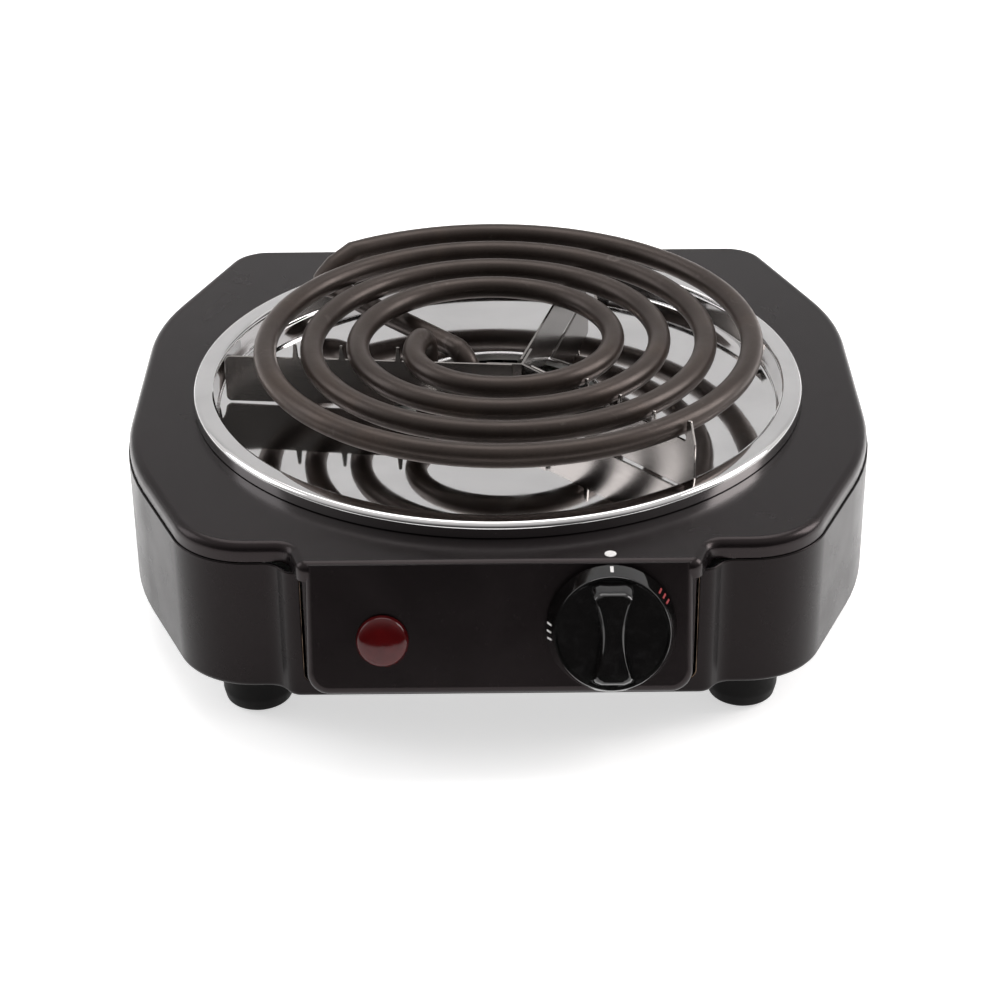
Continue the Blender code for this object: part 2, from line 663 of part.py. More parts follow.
# ---------------------------------------------------------------- controls on the panel
def make_thermostat(plastic, steel, brass, panel):
    here = (KNOB_X, KNOB_V, 0)
    strap = box("thermostat_strap", (28, 15, 0.9), (0, 0, -SHEET - GAP - 0.45), steel, panel, location=here)
    body = box("thermostat_body", (34, 26, 19), (0, 0, -12.0), plastic, panel, location=here)
    drill(strap, 4.2, -4, 0, steel, panel, here)
    drill(body, SHAFT_R + GAP, -19, 0, plastic, panel, here)
    for side, place in ((-1, "left"), (1, "right")):
        spot = (KNOB_X + side * SWITCH_SCREW_X, KNOB_V, 0)
        drill(strap, SCREW_HOLE_R, -4, 0, steel, panel, spot, 10)
        drill(body, SCREW_HOLE_R, -9, 0, plastic, panel, spot, 10)
        screw(f"thermostat_screw_{place}", 2.6, GAP, 1.4, 1.4, -7.5, steel, panel, location=spot)
        box(f"thermostat_tab_{place}", (6.3, 0.8, 7.0), (side * TAB_X, TAB_V, -25.3), brass, panel,
            location=here)


def make_knob(plastic, steel, joint):
    """Knob and shaft, built about the joint's axis, with +Z out of the panel."""
    shaft = [(0, -18.0), (SHAFT_R, -18.0), (SHAFT_R, 6.6), (SHAFT_R - 0.5, 7.0), (0, 7.0)]
    turned("thermostat_shaft", shaft, steel, joint, 16)
    cup = [(KNOB_BASE_R - 1.4, KNOB_LIFT), (KNOB_BASE_R, KNOB_LIFT), (KNOB_BASE_R, KNOB_LIFT + 0.9),
           (KNOB_FACE_R + 0.1, KNOB_FACE_W - 0.7), (KNOB_FACE_R - 0.4, KNOB_FACE_W), (0, KNOB_FACE_W),
           (0, 7.3), (SHAFT_R + GAP, 7.3), (SHAFT_R + GAP, KNOB_LIFT + 0.4), (5.6, KNOB_LIFT + 0.4),
           (5.6, 7.0), (KNOB_FACE_R - 1.6, 7.0)]
    knob = turned("control_knob", cup, plastic, joint, 32)
    loops = []
    for w, pull, tip in ((7.8, 0.0, 3.2), (KNOB_FACE_W, 0.0, 3.2), (GRIP_W - 1.0, 0.5, 1.0),
                         (GRIP_W, 1.3, 0.0)):
        loops.append(grip_loop(pull, GRIP_END + tip, w))
    join(knob, loft("add_knob_grip", loops, plastic, joint))
    return knob


def grip_loop(pull, reach, w):
    """Hourglass outline of the grip: narrow at the middle, its ends bowed like the knob's rim."""
    side = []
    for k in range(9):
        along = -1 + k / 4
        half = 3.9 + 2.1 * along * along - pull
        side.append((half, along * (reach - 1.1)))
    tip = [(2.6 - pull / 2, reach), (-2.6 + pull / 2, reach)]
    left = [(-x, y) for x, y in reversed(side)]
    tail = [(-x, -y) for x, y in tip]
    return [(x, y, w) for x, y in side + tip + left + tail]


def make_indicator(red, glass, steel, panel):
    here = (LENS_X, LENS_V, 0)
    dome = [(LENS_R, GAP), (LENS_R, 1.1), (6.6, 2.2), (5.0, 3.1), (2.6, 3.6), (0, 3.7), (0, 1.8),
            (3.6, 1.4), (4.0, 0.6), (4.0, -9.0), (5.2, -9.0), (5.2, GAP)]
    turned("indicator_lens", dome, red, panel, 20, location=here)
    clip = [(5.5, -SHEET - GAP), (5.5, -SHEET - GAP - 0.8), (8.4, -SHEET - GAP - 0.8), (8.4, -SHEET - GAP)]
    turned("lens_retainer", clip, steel, panel, 20, location=here)
    bulb = [(0, -15.0), (2.9, -15.0), (2.9, -1.6), (2.2, -0.2), (0, 0.6)]
    turned("indicator_lamp", bulb, glass, panel, 12, location=here)


# ---------------------------------------------------------------- wiring and rear
def make_gland(rubber, frame):
    """Cord bushing: a tube through the rear wall with a flange on each side of it."""
    wall_out = GAP
    wall_in = -SHEET - GAP
    profile = [(CORD_R, GLAND_REACH), (6.6, GLAND_REACH), (8.2, wall_out + 2.0), (8.4, wall_out),
               (5.4, wall_out), (5.4, wall_in), (7.6, wall_in), (7.6, wall_in - 3.0),
               (CORD_R, wall_in - 3.0)]
    turned("cord_gland", profile, rubber, frame, 16, location=(GLAND_X, REAR_Y, GLAND_Z),
           turn_x=-math.pi / 2)


def make_wiring(ceramic, steel, wire_blue, wire_brown, wire_lamp, frame):
    floor = FLOOR_Z + SHEET + GAP
    box("mains_block", (26, 14, 11), (*MAINS_SPOT, floor + 5.5), ceramic, frame)
    screw("earth_screw", 3.6, floor, floor + 2.0, 1.6, 9.5, steel, frame, location=(*EARTH_SPOT, 0))
    tab = {side: panel_point(KNOB_X + side * TAB_X, KNOB_V + TAB_V, -29.5) for side in (-1, 1)}
    back = -(panel_point(0, 0, 1) - panel_point(0, 0, 0))
    leg = inner_leg()
    lamp = {side: panel_point(LENS_X + side * 1.5, LENS_V, -15.6) for side in (-1, 1)}
    routes = {
        "wire_live": (1.1, wire_brown, [(27, 76, 21), (34, 71, 20), (60, 50, 18), (62, 0, 18),
                                        (52, -55, 18), tab[1] + back * 9, tab[1]]),
        "wire_load": (1.1, wire_brown, [(leg.x, leg.y - 1.8, TERMINAL_Z), (leg.x, leg.y - 12, 29),
                                        (-22, -28, 19), (-8, -45, 18), (16, -66, 20),
                                        tab[-1] + back * 9, tab[-1]]),
        "wire_neutral": (1.1, wire_blue, [(13, 76, 21), (9, 70, 20), (-2, 48, 22), (-8.6, 20, 31),
                                          (OUTER_LEG[0], OUTER_LEG[1] + 1.8, TERMINAL_Z)]),
        "wire_lamp_live": (0.6, wire_lamp, [lamp[1], lamp[1] + back * 7, (-12, -88, 30),
                                            (4, -98, 36), (13.8, -101, 38)]),
        "wire_lamp_neutral": (0.6, wire_lamp, [lamp[-1], lamp[-1] + back * 7, (-52, -66, 19),
                                               (-58, 0, 17), (-40, 60, 18), (-10, 72, 19), (6.4, 80, 20)]),
    }
    for name, (radius, mat, route) in routes.items():
        tube(name, smooth_route(route, 9.0), radius, 6, mat, frame)


def main():
    clear_scene()
    frame = empty("burner", (0, PAN_Y, 0))
    panel = empty("panel_frame", (0, FACE_Y, FACE_Z), frame, math.pi / 2 - LEAN)
    joint = empty("knob_axis", (KNOB_X, KNOB_V, 0), panel)
    satin = material("cover_paint", (0.045, 0.040, 0.041), 0.42, 0.0)
    black = material("shell_paint", (0.020, 0.019, 0.020), 0.28, 0.0)
    chrome = material("chrome", (0.78, 0.77, 0.77), 0.06, 1.0)
    sheath = material("coil_sheath", (0.075, 0.062, 0.057), 0.48, 0.6)
    rubber = material("rubber", (0.018, 0.018, 0.018), 0.75, 0.0)
    steel = material("zinc_steel", (0.55, 0.55, 0.53), 0.38, 1.0)
    brass = material("brass", (0.75, 0.58, 0.28), 0.35, 1.0)
    ceramic = material("ceramic", (0.86, 0.84, 0.78), 0.55, 0.0)
    gloss = material("knob_plastic", (0.008, 0.008, 0.008), 0.12, 0.0)
    phenolic = material("phenolic", (0.10, 0.06, 0.04), 0.5, 0.0)
    red = material("lens_red", (0.42, 0.02, 0.02), 0.08, 0.0)
    glass = material("lamp_glass", (0.85, 0.75, 0.65), 0.05, 0.0)
    blue = material("wire_blue", (0.05, 0.14, 0.50), 0.5, 0.0)
    brown = material("wire_brown", (0.22, 0.10, 0.05), 0.5, 0.0)
    white = material("wire_white", (0.85, 0.84, 0.80), 0.5, 0.0)
    make_top_cover(satin, frame, panel)
    make_base_shell(black, frame)
    make_bottom_plate(steel, frame)
    make_feet(rubber, steel, frame)
    make_trim_ring(chrome, frame)
    make_drip_pan(chrome, frame)
    make_coil(sheath, ceramic, brass, frame)
    make_support(chrome, frame)
    make_element_bracket(steel, frame)
    make_thermostat(phenolic, steel, brass, panel)
    make_knob(gloss, steel, joint)
    make_indicator(red, glass, steel, panel)
    make_gland(rubber, frame)
    make_wiring(ceramic, steel, blue, brown, white, frame)


main()
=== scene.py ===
"""Finished look of the electric hot plate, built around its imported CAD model.

Shapes are made in millimetres in one of three local frames, and a matrix carries them to the row
frame in metres: PAN has the burner's axis at x = y = 0, PANEL lies on the leaning face (x across,
y up the face, z out of it), and KNOB is PANEL moved to the knob's axis.
"""
import json
import math

import bmesh
import bpy
from mathutils import Matrix, Vector


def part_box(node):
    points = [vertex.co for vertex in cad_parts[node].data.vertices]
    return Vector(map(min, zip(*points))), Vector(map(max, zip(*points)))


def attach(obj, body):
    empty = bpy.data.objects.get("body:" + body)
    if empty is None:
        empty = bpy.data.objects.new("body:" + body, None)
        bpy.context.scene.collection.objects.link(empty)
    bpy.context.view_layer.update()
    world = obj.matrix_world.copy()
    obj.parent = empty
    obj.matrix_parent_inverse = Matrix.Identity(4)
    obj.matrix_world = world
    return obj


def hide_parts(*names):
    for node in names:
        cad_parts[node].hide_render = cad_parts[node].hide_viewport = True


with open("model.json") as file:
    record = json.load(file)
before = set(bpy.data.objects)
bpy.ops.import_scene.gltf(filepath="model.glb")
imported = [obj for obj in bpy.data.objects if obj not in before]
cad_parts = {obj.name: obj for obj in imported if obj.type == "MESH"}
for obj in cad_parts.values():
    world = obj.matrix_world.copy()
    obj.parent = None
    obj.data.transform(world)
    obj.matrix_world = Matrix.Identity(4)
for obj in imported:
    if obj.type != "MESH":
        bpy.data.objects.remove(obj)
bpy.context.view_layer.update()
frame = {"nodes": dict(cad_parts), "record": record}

MM = 0.001
TURN = 2 * math.pi
BODY = "burner_body"
TURNING = "knob"


# ---------------------------------------------------------------- places, read from the frame
def box_mm(node):
    low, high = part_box(node)
    return low / MM, high / MM


def middle_mm(node):
    low, high = box_mm(node)
    return (low + high) / 2


RING_LOW, RING_HIGH = box_mm("trim_ring")
PAN_Y = (RING_LOW.y + RING_HIGH.y) / 2
RING_R = (RING_HIGH.x - RING_LOW.x) / 2
RING_Z = RING_HIGH.z
COIL_LOW, COIL_HIGH = box_mm("heating_coil")
BASE_LOW, BASE_HIGH = box_mm("base_shell")
COVER_LOW, COVER_HIGH = box_mm("top_cover")

# Body shells
SHEET = 1.0
GAP = 0.3
SIDE_X = BASE_HIGH.x
REAR_Y = BASE_HIGH.y - PAN_Y
NOTCH_Y = BASE_LOW.y - PAN_Y
CHEEK_Y = -97.8
FLOOR_Z = BASE_LOW.z
SEAM_Z = BASE_HIGH.z
COVER_Z = COVER_HIGH.z
COVER_INSET = 0.5
COVER_EDGE = 3.0
COVER_HOLE_R = 89.6
BASE_EDGE = 2.0
BASE_LEVELS = 4
OPENING_RIM = 7.0
NOTCH_HALF = 56.1
NOTCH_Z = 19.5
NOTCH_CORNER = 3.0
RAW_EDGE_TOP = SEAM_Z - 1.0
RAW_EDGE_IN = 0.10
RAW_EDGE_OUT = 0.02
RAW_EDGE_DEEP = 0.8

# Control panel
LEAN = math.radians(18)
FACE_Y = -118.8
FACE_Z = 27.9
FACE_HALF = 51.8
FACE_CORNER = 4.2
FACE_EDGE = 2.2
PANEL_TOP_V = 60.0
PANEL_BACK_Y = -100.0
PANEL_BACK_HALF = 55.6
PANEL_BACK_Z = COVER_LOW.z
ROUNDING_Z = COVER_Z - COVER_EDGE * (1 - math.sin(LEAN))
ROUNDING_Y = FACE_Y + (ROUNDING_Z - FACE_Z) * math.tan(LEAN)
NOSE_TUCK = 0.08
NOSE_Y = ROUNDING_Y - COVER_EDGE * (1 - math.cos(LEAN)) - COVER_INSET + NOSE_TUCK

# Pan, ring and coil
RING_INNER_R = 88.7
RING_SHEET = 0.7
PAN_SHEET = 0.6
PAN_RIM_R = 93.7
PAN_RIM_Z = 65.3
PAN_HOLE_R = 33.0
PAN_FLOOR_Z = 57.3
TRAY_R = 84.5
TRAY_Z = 57.9
TUBE_R = 3.5
COIL_Z = COIL_HIGH.z - TUBE_R
COIL_R = 79.1
COIL_PITCH = 14.35
COIL_START = -0.347
COIL_END = 3.5
TUCK_START = 3.3
TUCK = 4.4
LEG_Z = 69.2
LEG_END_Z = COIL_LOW.z
LEG_BEND_R = 7.0
OUTER_LEG = (-8.6, 7.2)
HUB = (7.6, -8.3)
BLADE_ANGLES = {"left": 175.0, "front": -48.5, "rear": 74.4}
BLADE_TOP = 73.9
BLADE_BOTTOM = 58.4
BLADE_END_R = 85.0
BLADE_T = 0.8
BLADE_SIDE = 0.7
BLADE_START = 3.0
HOOK_GAP = 0.6
HOOK_FOOT = 1.8
HOOK_TIP = (0.4, 1.4)
HOOK_TOP = 78.6
TALL_HOOK_TOP = 80.9
TALL_HOOK_TIP = (0.4, 1.9)

# Controls
KNOB_X = 31.0
KNOB_V = 17.1
KNOB_BASE_R = 18.1
KNOB_FACE_R = 16.3
KNOB_LIFT = 1.9
KNOB_FACE_W = 8.6
GRIP_W = 15.0
GRIP_END = 11.8
SHAFT_R = 3.0
SHAFT_HOLE_R = 4.6
SOCKET_W = 7.3
KNOB_WEB_W = 7.0
DOT_R = 1.65
DOT_Y = -103.6
LENS_X = -32.7
LENS_V = 13.6
LENS_R = 7.3
LENS_STEP_W = 1.3
LENS_DOME_H = 2.4
LENS_HOLE_R = 5.6
LENS_STEM = (4.0, 5.2, -9.0)

# Underside and rear
PLATE_HALF = (85.0, 64.0)
SCREW_HOLE_R = 1.8
VENT_HALF = (1.6, 13.0)
VENT_PITCH = 14.0
VENT_ROW_Y = 26.0
HEAD_H = 2.2
CORD_R = 3.6
GLAND_REACH = 4.0
GLAND_HOLE_R = 5.8
GLAND_FLANGE_R = 8.4
GLAND_NECK_R = 5.4
GLAND_TAIL_R = 7.6
PLACES = ("front_left", "front_right", "rear_left", "rear_right")

PAN = Matrix.Translation((0, PAN_Y * MM, 0)) @ Matrix.Scale(MM, 4)
PANEL = (Matrix.Translation((0, (FACE_Y + PAN_Y) * MM, FACE_Z * MM))
         @ Matrix.Rotation(math.pi / 2 - LEAN, 4, "X") @ Matrix.Scale(MM, 4))
KNOB = PANEL @ Matrix.Translation((KNOB_X, KNOB_V, 0))


# ---------------------------------------------------------------- material building blocks
class Look:
    """A node material on one Principled shader, with helpers that add detail to it."""

    def __init__(self, name, colour, roughness, metallic=0.0):
        self.mat = bpy.data.materials.new(name)
        self.mat.use_nodes = True
        self.tree = self.mat.node_tree
        self.shader = self.tree.nodes["Principled BSDF"]
        self.shader.inputs["Base Color"].default_value = (*colour, 1.0)
        self.shader.inputs["Roughness"].default_value = roughness
        self.shader.inputs["Metallic"].default_value = metallic
        self.colour = self.shader.inputs["Base Color"]
        self.rough = self.shader.inputs["Roughness"]
        self.place = self.tree.nodes.new("ShaderNodeTexCoord").outputs["Object"]
        self.normal = None

    def set(self, **values):
        for name, value in values.items():
            self.shader.inputs[name.replace("_", " ")].default_value = value
        return self

    def stretch(self, scale):
        """Object coordinates scaled by a different amount along each axis."""
        node = self.tree.nodes.new("ShaderNodeMapping")
        node.inputs["Scale"].default_value = scale
        self.tree.links.new(self.place, node.inputs["Vector"])
        return node.outputs["Vector"]

    def noise(self, scale, detail=3.0, stretch=None, distortion=0.0):
        node = self.tree.nodes.new("ShaderNodeTexNoise")
        node.inputs["Scale"].default_value = scale
        node.inputs["Detail"].default_value = detail
        node.inputs["Distortion"].default_value = distortion
        source = self.stretch(stretch) if stretch else self.place
        self.tree.links.new(source, node.inputs["Vector"])
        return node.outputs["Fac"]

    def cells(self, scale, feature="F1"):
        node = self.tree.nodes.new("ShaderNodeTexVoronoi")
        node.feature = feature
        node.inputs["Scale"].default_value = scale
        self.tree.links.new(self.place, node.inputs["Vector"])
        return node.outputs["Distance"]

    def ramp(self, source, *stops):
        """Map a factor through (position, value or colour) stops."""
        node = self.tree.nodes.new("ShaderNodeValToRGB")
        bar = node.color_ramp.elements
        while len(bar) < len(stops):
            bar.new(1.0)
        for item, (position, value) in zip(bar, stops):
            item.position = position
            item.color = (*value, 1.0) if isinstance(value, tuple) else (value, value, value, 1.0)
        self.tree.links.new(source, node.inputs["Fac"])
        return node.outputs["Color"]

    def blend(self, factor, first, second, mode="MIX"):
        node = self.tree.nodes.new("ShaderNodeMix")
        node.data_type = "RGBA"
        node.blend_type = mode
        for socket, value in ((node.inputs["Factor"], factor), (node.inputs[6], first),
                              (node.inputs[7], second)):
            if isinstance(value, bpy.types.NodeSocket):
                self.tree.links.new(value, socket)
            elif isinstance(value, tuple):
                socket.default_value = (*value, 1.0)
            else:
                socket.default_value = value
        return node.outputs[2]

    def paint(self, source):
        self.tree.links.new(source, self.colour)
        return self

    def gloss(self, source):
        self.tree.links.new(source, self.rough)
        return self

    def bump(self, height, strength, depth_mm):
        """Add a bump layer; layers stack on one another."""
        node = self.tree.nodes.new("ShaderNodeBump")
        node.inputs["Strength"].default_value = strength
        node.inputs["Distance"].default_value = depth_mm * MM
        self.tree.links.new(height, node.inputs["Height"])
        if self.normal:
            self.tree.links.new(self.normal, node.inputs["Normal"])
        self.normal = node.outputs["Normal"]
        self.tree.links.new(self.normal, self.shader.inputs["Normal"])
        return self


# ---------------------------------------------------------------- materials
WARM_GLOSS = (1.0, 0.84, 0.85, 1.0)


def look_cover():
    look = Look("satin_black_paint", (0.006, 0.005, 0.0052), 0.24)
    look.set(Specular_IOR_Level=0.27, Specular_Tint=WARM_GLOSS, Coat_Weight=0.03, Coat_Roughness=0.12)
    patches = look.noise(14, 4, distortion=0.4)
    warm = look.blend(look.ramp(patches, (0.35, 0.0), (0.7, 1.0)), (0.0050, 0.0040, 0.0042),
                      (0.0072, 0.0056, 0.0060))
    specks = look.ramp(look.noise(900, 2), (0.70, 0.0), (0.76, 1.0))
    look.paint(look.blend(specks, warm, (0.016, 0.013, 0.013)))
    look.gloss(look.ramp(look.noise(38, 5, distortion=0.6), (0.3, 0.20), (0.7, 0.28)))
    look.bump(look.noise(1500, 2), 0.14, 0.05)
    look.bump(look.noise(260, 3), 0.08, 0.12)
    return look.mat


def look_shell():
    look = Look("semigloss_black_paint", (0.005, 0.0045, 0.0046), 0.22)
    look.set(Specular_IOR_Level=0.15, Specular_Tint=WARM_GLOSS, Coat_Weight=0.02, Coat_Roughness=0.10)
    look.paint(look.ramp(look.noise(22, 4), (0.35, (0.0034, 0.0029, 0.0030)),
                         (0.7, (0.0052, 0.0044, 0.0046))))
    look.gloss(look.ramp(look.noise(60, 5), (0.3, 0.22), (0.7, 0.31)))
    look.bump(look.noise(420, 3), 0.14, 0.10)
    return look.mat


def look_cut_edge():
    """Bare steel where the shell's paint ends at the notch, gone tan with heat and oil."""
    look = Look("bare_cut_edge", (0.20, 0.13, 0.08), 0.42, 0.7)
    look.paint(look.ramp(look.noise(220, 4), (0.35, (0.035, 0.024, 0.018)), (0.65, (0.26, 0.18, 0.12))))
    look.gloss(look.ramp(look.noise(500, 3), (0.3, 0.32), (0.7, 0.6)))
    look.bump(look.noise(900, 3), 0.3, 0.06)
    return look.mat


def look_chrome(name, tone, roughness, streak):
    look = Look(name, tone, roughness, 1.0)
    dull = tuple(value * 0.86 for value in tone)
    look.paint(look.ramp(look.noise(26, 5, distortion=0.7), (0.35, tone), (0.75, dull)))
    hairs = look.noise(260, 3, stretch=streak)
    look.gloss(look.ramp(hairs, (0.35, roughness), (0.75, roughness + 0.05)))
    look.bump(hairs, 0.05, 0.03)
    look.bump(look.noise(55, 2), 0.05, 0.15)
    return look.mat


def look_sheath():
    """Oxidised element tube: dark brown-black in uneven tones, with paler scuffs."""
    look = Look("oxidised_sheath", (0.040, 0.033, 0.030), 0.36, 0.35)
    look.set(Specular_IOR_Level=0.6, Specular_Tint=(1.0, 0.88, 0.83, 1.0))
    tint = look.ramp(look.noise(30, 5, distortion=0.8), (0.3, (0.026, 0.019, 0.016)),
                     (0.55, (0.036, 0.027, 0.023)), (0.8, (0.056, 0.038, 0.028)))
    scuff = look.ramp(look.noise(170, 6, distortion=1.2), (0.66, 0.0), (0.78, 1.0))
    worn = look.blend(scuff, tint, (0.085, 0.072, 0.066))
    grain = look.ramp(look.noise(1100, 2), (0.35, 0.82), (0.7, 1.0))
    look.paint(look.blend(1.0, worn, grain, "MULTIPLY"))
    look.gloss(look.ramp(look.noise(120, 5), (0.3, 0.30), (0.7, 0.42)))
    look.bump(look.noise(1300, 2), 0.20, 0.05)
    look.bump(look.noise(180, 4), 0.14, 0.10)
    return look.mat


def look_zinc():
    look = Look("zinc_plate", (0.50, 0.50, 0.48), 0.36, 1.0)
    look.paint(look.ramp(look.cells(300), (0.1, (0.42, 0.43, 0.42)), (0.8, (0.60, 0.60, 0.58))))
    look.gloss(look.ramp(look.noise(90, 4), (0.3, 0.28), (0.7, 0.46)))
    look.bump(look.noise(700, 3), 0.12, 0.05)
    return look.mat


def look_knob():
    look = Look("glossy_black_phenolic", (0.0035, 0.0034, 0.0034), 0.09)
    look.set(Specular_IOR_Level=0.5, Coat_Weight=0.25, Coat_Roughness=0.04)
    look.paint(look.ramp(look.noise(120, 4), (0.3, (0.0020, 0.0018, 0.0018)),
                         (0.8, (0.0036, 0.0032, 0.0031))))
    look.gloss(look.ramp(look.noise(300, 5, distortion=1.0), (0.45, 0.08), (0.8, 0.18)))
    look.bump(look.noise(140, 3), 0.06, 0.12)
    return look.mat


def look_lens():
    look = Look("red_pilot_lens", (0.060, 0.001, 0.002), 0.12)
    look.set(Transmission_Weight=0.15, IOR=1.49, Specular_IOR_Level=0.30, Coat_Weight=0.10,
             Coat_Roughness=0.03)
    look.paint(look.ramp(look.noise(180, 3), (0.3, (0.050, 0.0010, 0.0015)),
                         (0.7, (0.085, 0.0020, 0.0028))))
    look.bump(look.cells(520), 0.10, 0.15)
    return look.mat


def look_mark(name, colour):
    look = Look(name, colour, 0.5)
    worn = tuple(value * 0.7 for value in colour)
    look.paint(look.ramp(look.noise(1400, 4), (0.30, worn), (0.5, colour)))
    look.bump(look.noise(2000, 2), 0.1, 0.02)
    return look.mat


def look_plain(name, dark, pale, roughness, grain, depth_mm, metallic=0.0, shine=0.5):
    """Moulded or fired material: two close tones, uneven gloss and a fine grain."""
    look = Look(name, pale, roughness, metallic)
    look.set(Specular_IOR_Level=shine)
    look.paint(look.ramp(look.noise(grain / 6, 4), (0.3, dark), (0.7, pale)))
    look.gloss(look.ramp(look.noise(grain / 3, 4), (0.3, roughness - 0.06), (0.7, roughness + 0.08)))
    look.bump(look.noise(grain, 3), 0.25, depth_mm)
    return look.mat


def make_looks():
    return {
        "cover_paint": look_cover(),
        "shell_paint": look_shell(),
        "chrome": look_chrome("polished_chrome", (0.80, 0.79, 0.79), 0.030, (0.4, 0.4, 6.0)),
        "support_steel": look_chrome("plated_support_steel", (0.33, 0.31, 0.295), 0.18, (1.0, 1.0, 8.0)),
        "coil_sheath": look_sheath(),
        "zinc_steel": look_zinc(),
        "rubber": look_plain("black_rubber", (0.003, 0.0026, 0.0026), (0.005, 0.0044, 0.0044), 0.50,
                             900, 0.08, shine=0.1),
        "ceramic": look_plain("unglazed_ceramic", (0.70, 0.67, 0.60), (0.82, 0.80, 0.74), 0.6, 600, 0.08),
        "brass": look_plain("plain_brass", (0.55, 0.40, 0.17), (0.78, 0.60, 0.28), 0.32, 500, 0.03, 1.0),
        "knob_plastic": look_knob(),
        "phenolic": look_plain("brown_phenolic", (0.06, 0.035, 0.022), (0.11, 0.068, 0.045), 0.45, 700, 0.05),
        "lens_red": look_lens(),
        "lamp_glass": look_plain("lamp_glass", (0.70, 0.60, 0.50), (0.88, 0.80, 0.70), 0.10, 300, 0.02),
        "wire_blue": look_plain("blue_insulation", (0.03, 0.10, 0.38), (0.05, 0.15, 0.52), 0.42, 500, 0.03),
        "wire_brown": look_plain("brown_insulation", (0.15, 0.07, 0.03), (0.23, 0.11, 0.05), 0.42, 500, 0.03),
        "wire_white": look_plain("braided_sleeve", (0.68, 0.66, 0.60), (0.86, 0.84, 0.79), 0.70, 1500, 0.10),
    }


LOOKS = make_looks()
LOOK_CUT_EDGE = look_cut_edge()


def dress_frame():
    """Give every CAD node that stays in view its finished material."""
    slots = {part["node"]: part["material_slot"] for part in frame["record"]["subparts"]}
    for node, item in frame["nodes"].items():
        mat = LOOKS[slots[node]]
        if not item.material_slots:
            item.data.materials.append(mat)
        for place in item.material_slots:
            place.material = mat


# ---------------------------------------------------------------- mesh building blocks
def add_mesh(name, points, faces, mat, where, sharp_deg=35.0):
    """A mesh in the row frame from local millimetre points, with its faces turned outwards."""
    shape = bmesh.new()
    verts = [shape.verts.new(where @ Vector(point)) for point in points]
    for face in faces:
        shape.faces.new([verts[index] for index in face])
    bmesh.ops.recalc_face_normals(shape, faces=shape.faces)
    mesh = bpy.data.meshes.new(name)
    shape.to_mesh(mesh)
    shape.free()
    mesh.shade_smooth()
    mesh.set_sharp_from_angle(angle=math.radians(sharp_deg))
    mesh.materials.append(mat)
    item = bpy.data.objects.new(name, mesh)
    bpy.context.scene.collection.objects.link(item)
    return item


def loft(name, loops, mat, where, **more):
    """Skin equal loops and close both ends with a flat cap."""
    count = len(loops[0])
    points = [point for loop in loops for point in loop]
    faces = [list(range(count)), list(range((len(loops) - 1) * count, len(loops) * count))]
    for row in range(len(loops) - 1):
        start = row * count
        for i in range(count):
            j = (i + 1) % count
            faces.append([start + i, start + j, start + count + j, start + count + i])
    return add_mesh(name, points, faces, mat, where, **more)


def extrude(name, outline, low, high, mat, where, **more):
    loops = [[(x, y, z) for x, y in outline] for z in (low, high)]
    return loft(name, loops, mat, where, **more)


def turned(name, profile, mat, where, segments=96, **more):
    """Turn a closed (radius, z) profile about the local Z axis."""
    points = []
    rings = []
    for radius, z in profile:
        if radius == 0:
            rings.append([len(points)] * segments)
            points.append((0, 0, z))
            continue
        rings.append([len(points) + i for i in range(segments)])
        for i in range(segments):
            angle = TURN * i / segments
            points.append((radius * math.cos(angle), radius * math.sin(angle), z))
    faces = []
    for row, ring in enumerate(rings):
        after = rings[(row + 1) % len(rings)]
        for i in range(segments):
            j = (i + 1) % segments
            corners = []
            for index in (ring[i], ring[j], after[j], after[i]):
                if index not in corners:
                    corners.append(index)
            if len(corners) > 2:
                faces.append(corners)
    return add_mesh(name, points, faces, mat, where, **more)


def tube(name, route, radius, sides, mat, where):
    """Sweep a circle along a route, carrying its frame along without twist."""
    side = None
    loops = []
    for i, point in enumerate(route):
        ahead = (route[min(i + 1, len(route) - 1)] - route[max(i - 1, 0)]).normalized()
        if side is None:
            side = ahead.orthogonal()
        side = (side - ahead * side.dot(ahead)).normalized()
        up = ahead.cross(side)
        angles = [TURN * k / sides for k in range(sides)]
        loops.append([point + radius * (math.cos(a) * side + math.sin(a) * up) for a in angles])
    return loft(name, loops, mat, where)


def arc(radius, start, end, count):
    """Points (cosine, sine) * radius from one angle in degrees to another."""
    angles = [math.radians(start + (end - start) * k / count) for k in range(count + 1)]
    return [(radius * math.cos(angle), radius * math.sin(angle)) for angle in angles]


def fillet_loop(corners, step_deg=4.0):
    """Closed outline through (x, y, radius) corners, each corner an arc of its radius."""
    outline = []
    for i, (x, y, radius) in enumerate(corners):
        here = Vector((x, y))
        back = (Vector(corners[i - 1][:2]) - here).normalized()
        ahead = (Vector(corners[(i + 1) % len(corners)][:2]) - here).normalized()
        bend = math.pi - back.angle(ahead)
        reach = radius * math.tan(bend / 2)
        centre = here + (back + ahead).normalized() * radius / math.cos(bend / 2)
        first = here + back * reach - centre
        sign = 1 if (-back).cross(ahead) > 0 else -1
        count = max(2, math.ceil(math.degrees(bend) / step_deg))
        for k in range(count + 1):
            outline.append(tuple(centre + Matrix.Rotation(sign * bend * k / count, 2) @ first))
    return outline


def rounded(points, radius, steps=4):
    """Open (radius, z) line with its inner corners rounded, as far as their legs allow."""
    line = [points[0]]
    for before, here, after in zip(points, points[1:], points[2:]):
        corner = Vector(here)
        back = Vector(before) - corner
        ahead = Vector(after) - corner
        reach = min(radius, back.length * 0.45, ahead.length * 0.45)
        start = corner + back.normalized() * reach
        end = corner + ahead.normalized() * reach
        for k in range(steps + 1):
            t = k / steps
            line.append(tuple((1 - t) ** 2 * start + 2 * t * (1 - t) * corner + t * t * end))
    line.append(points[-1])
    return line


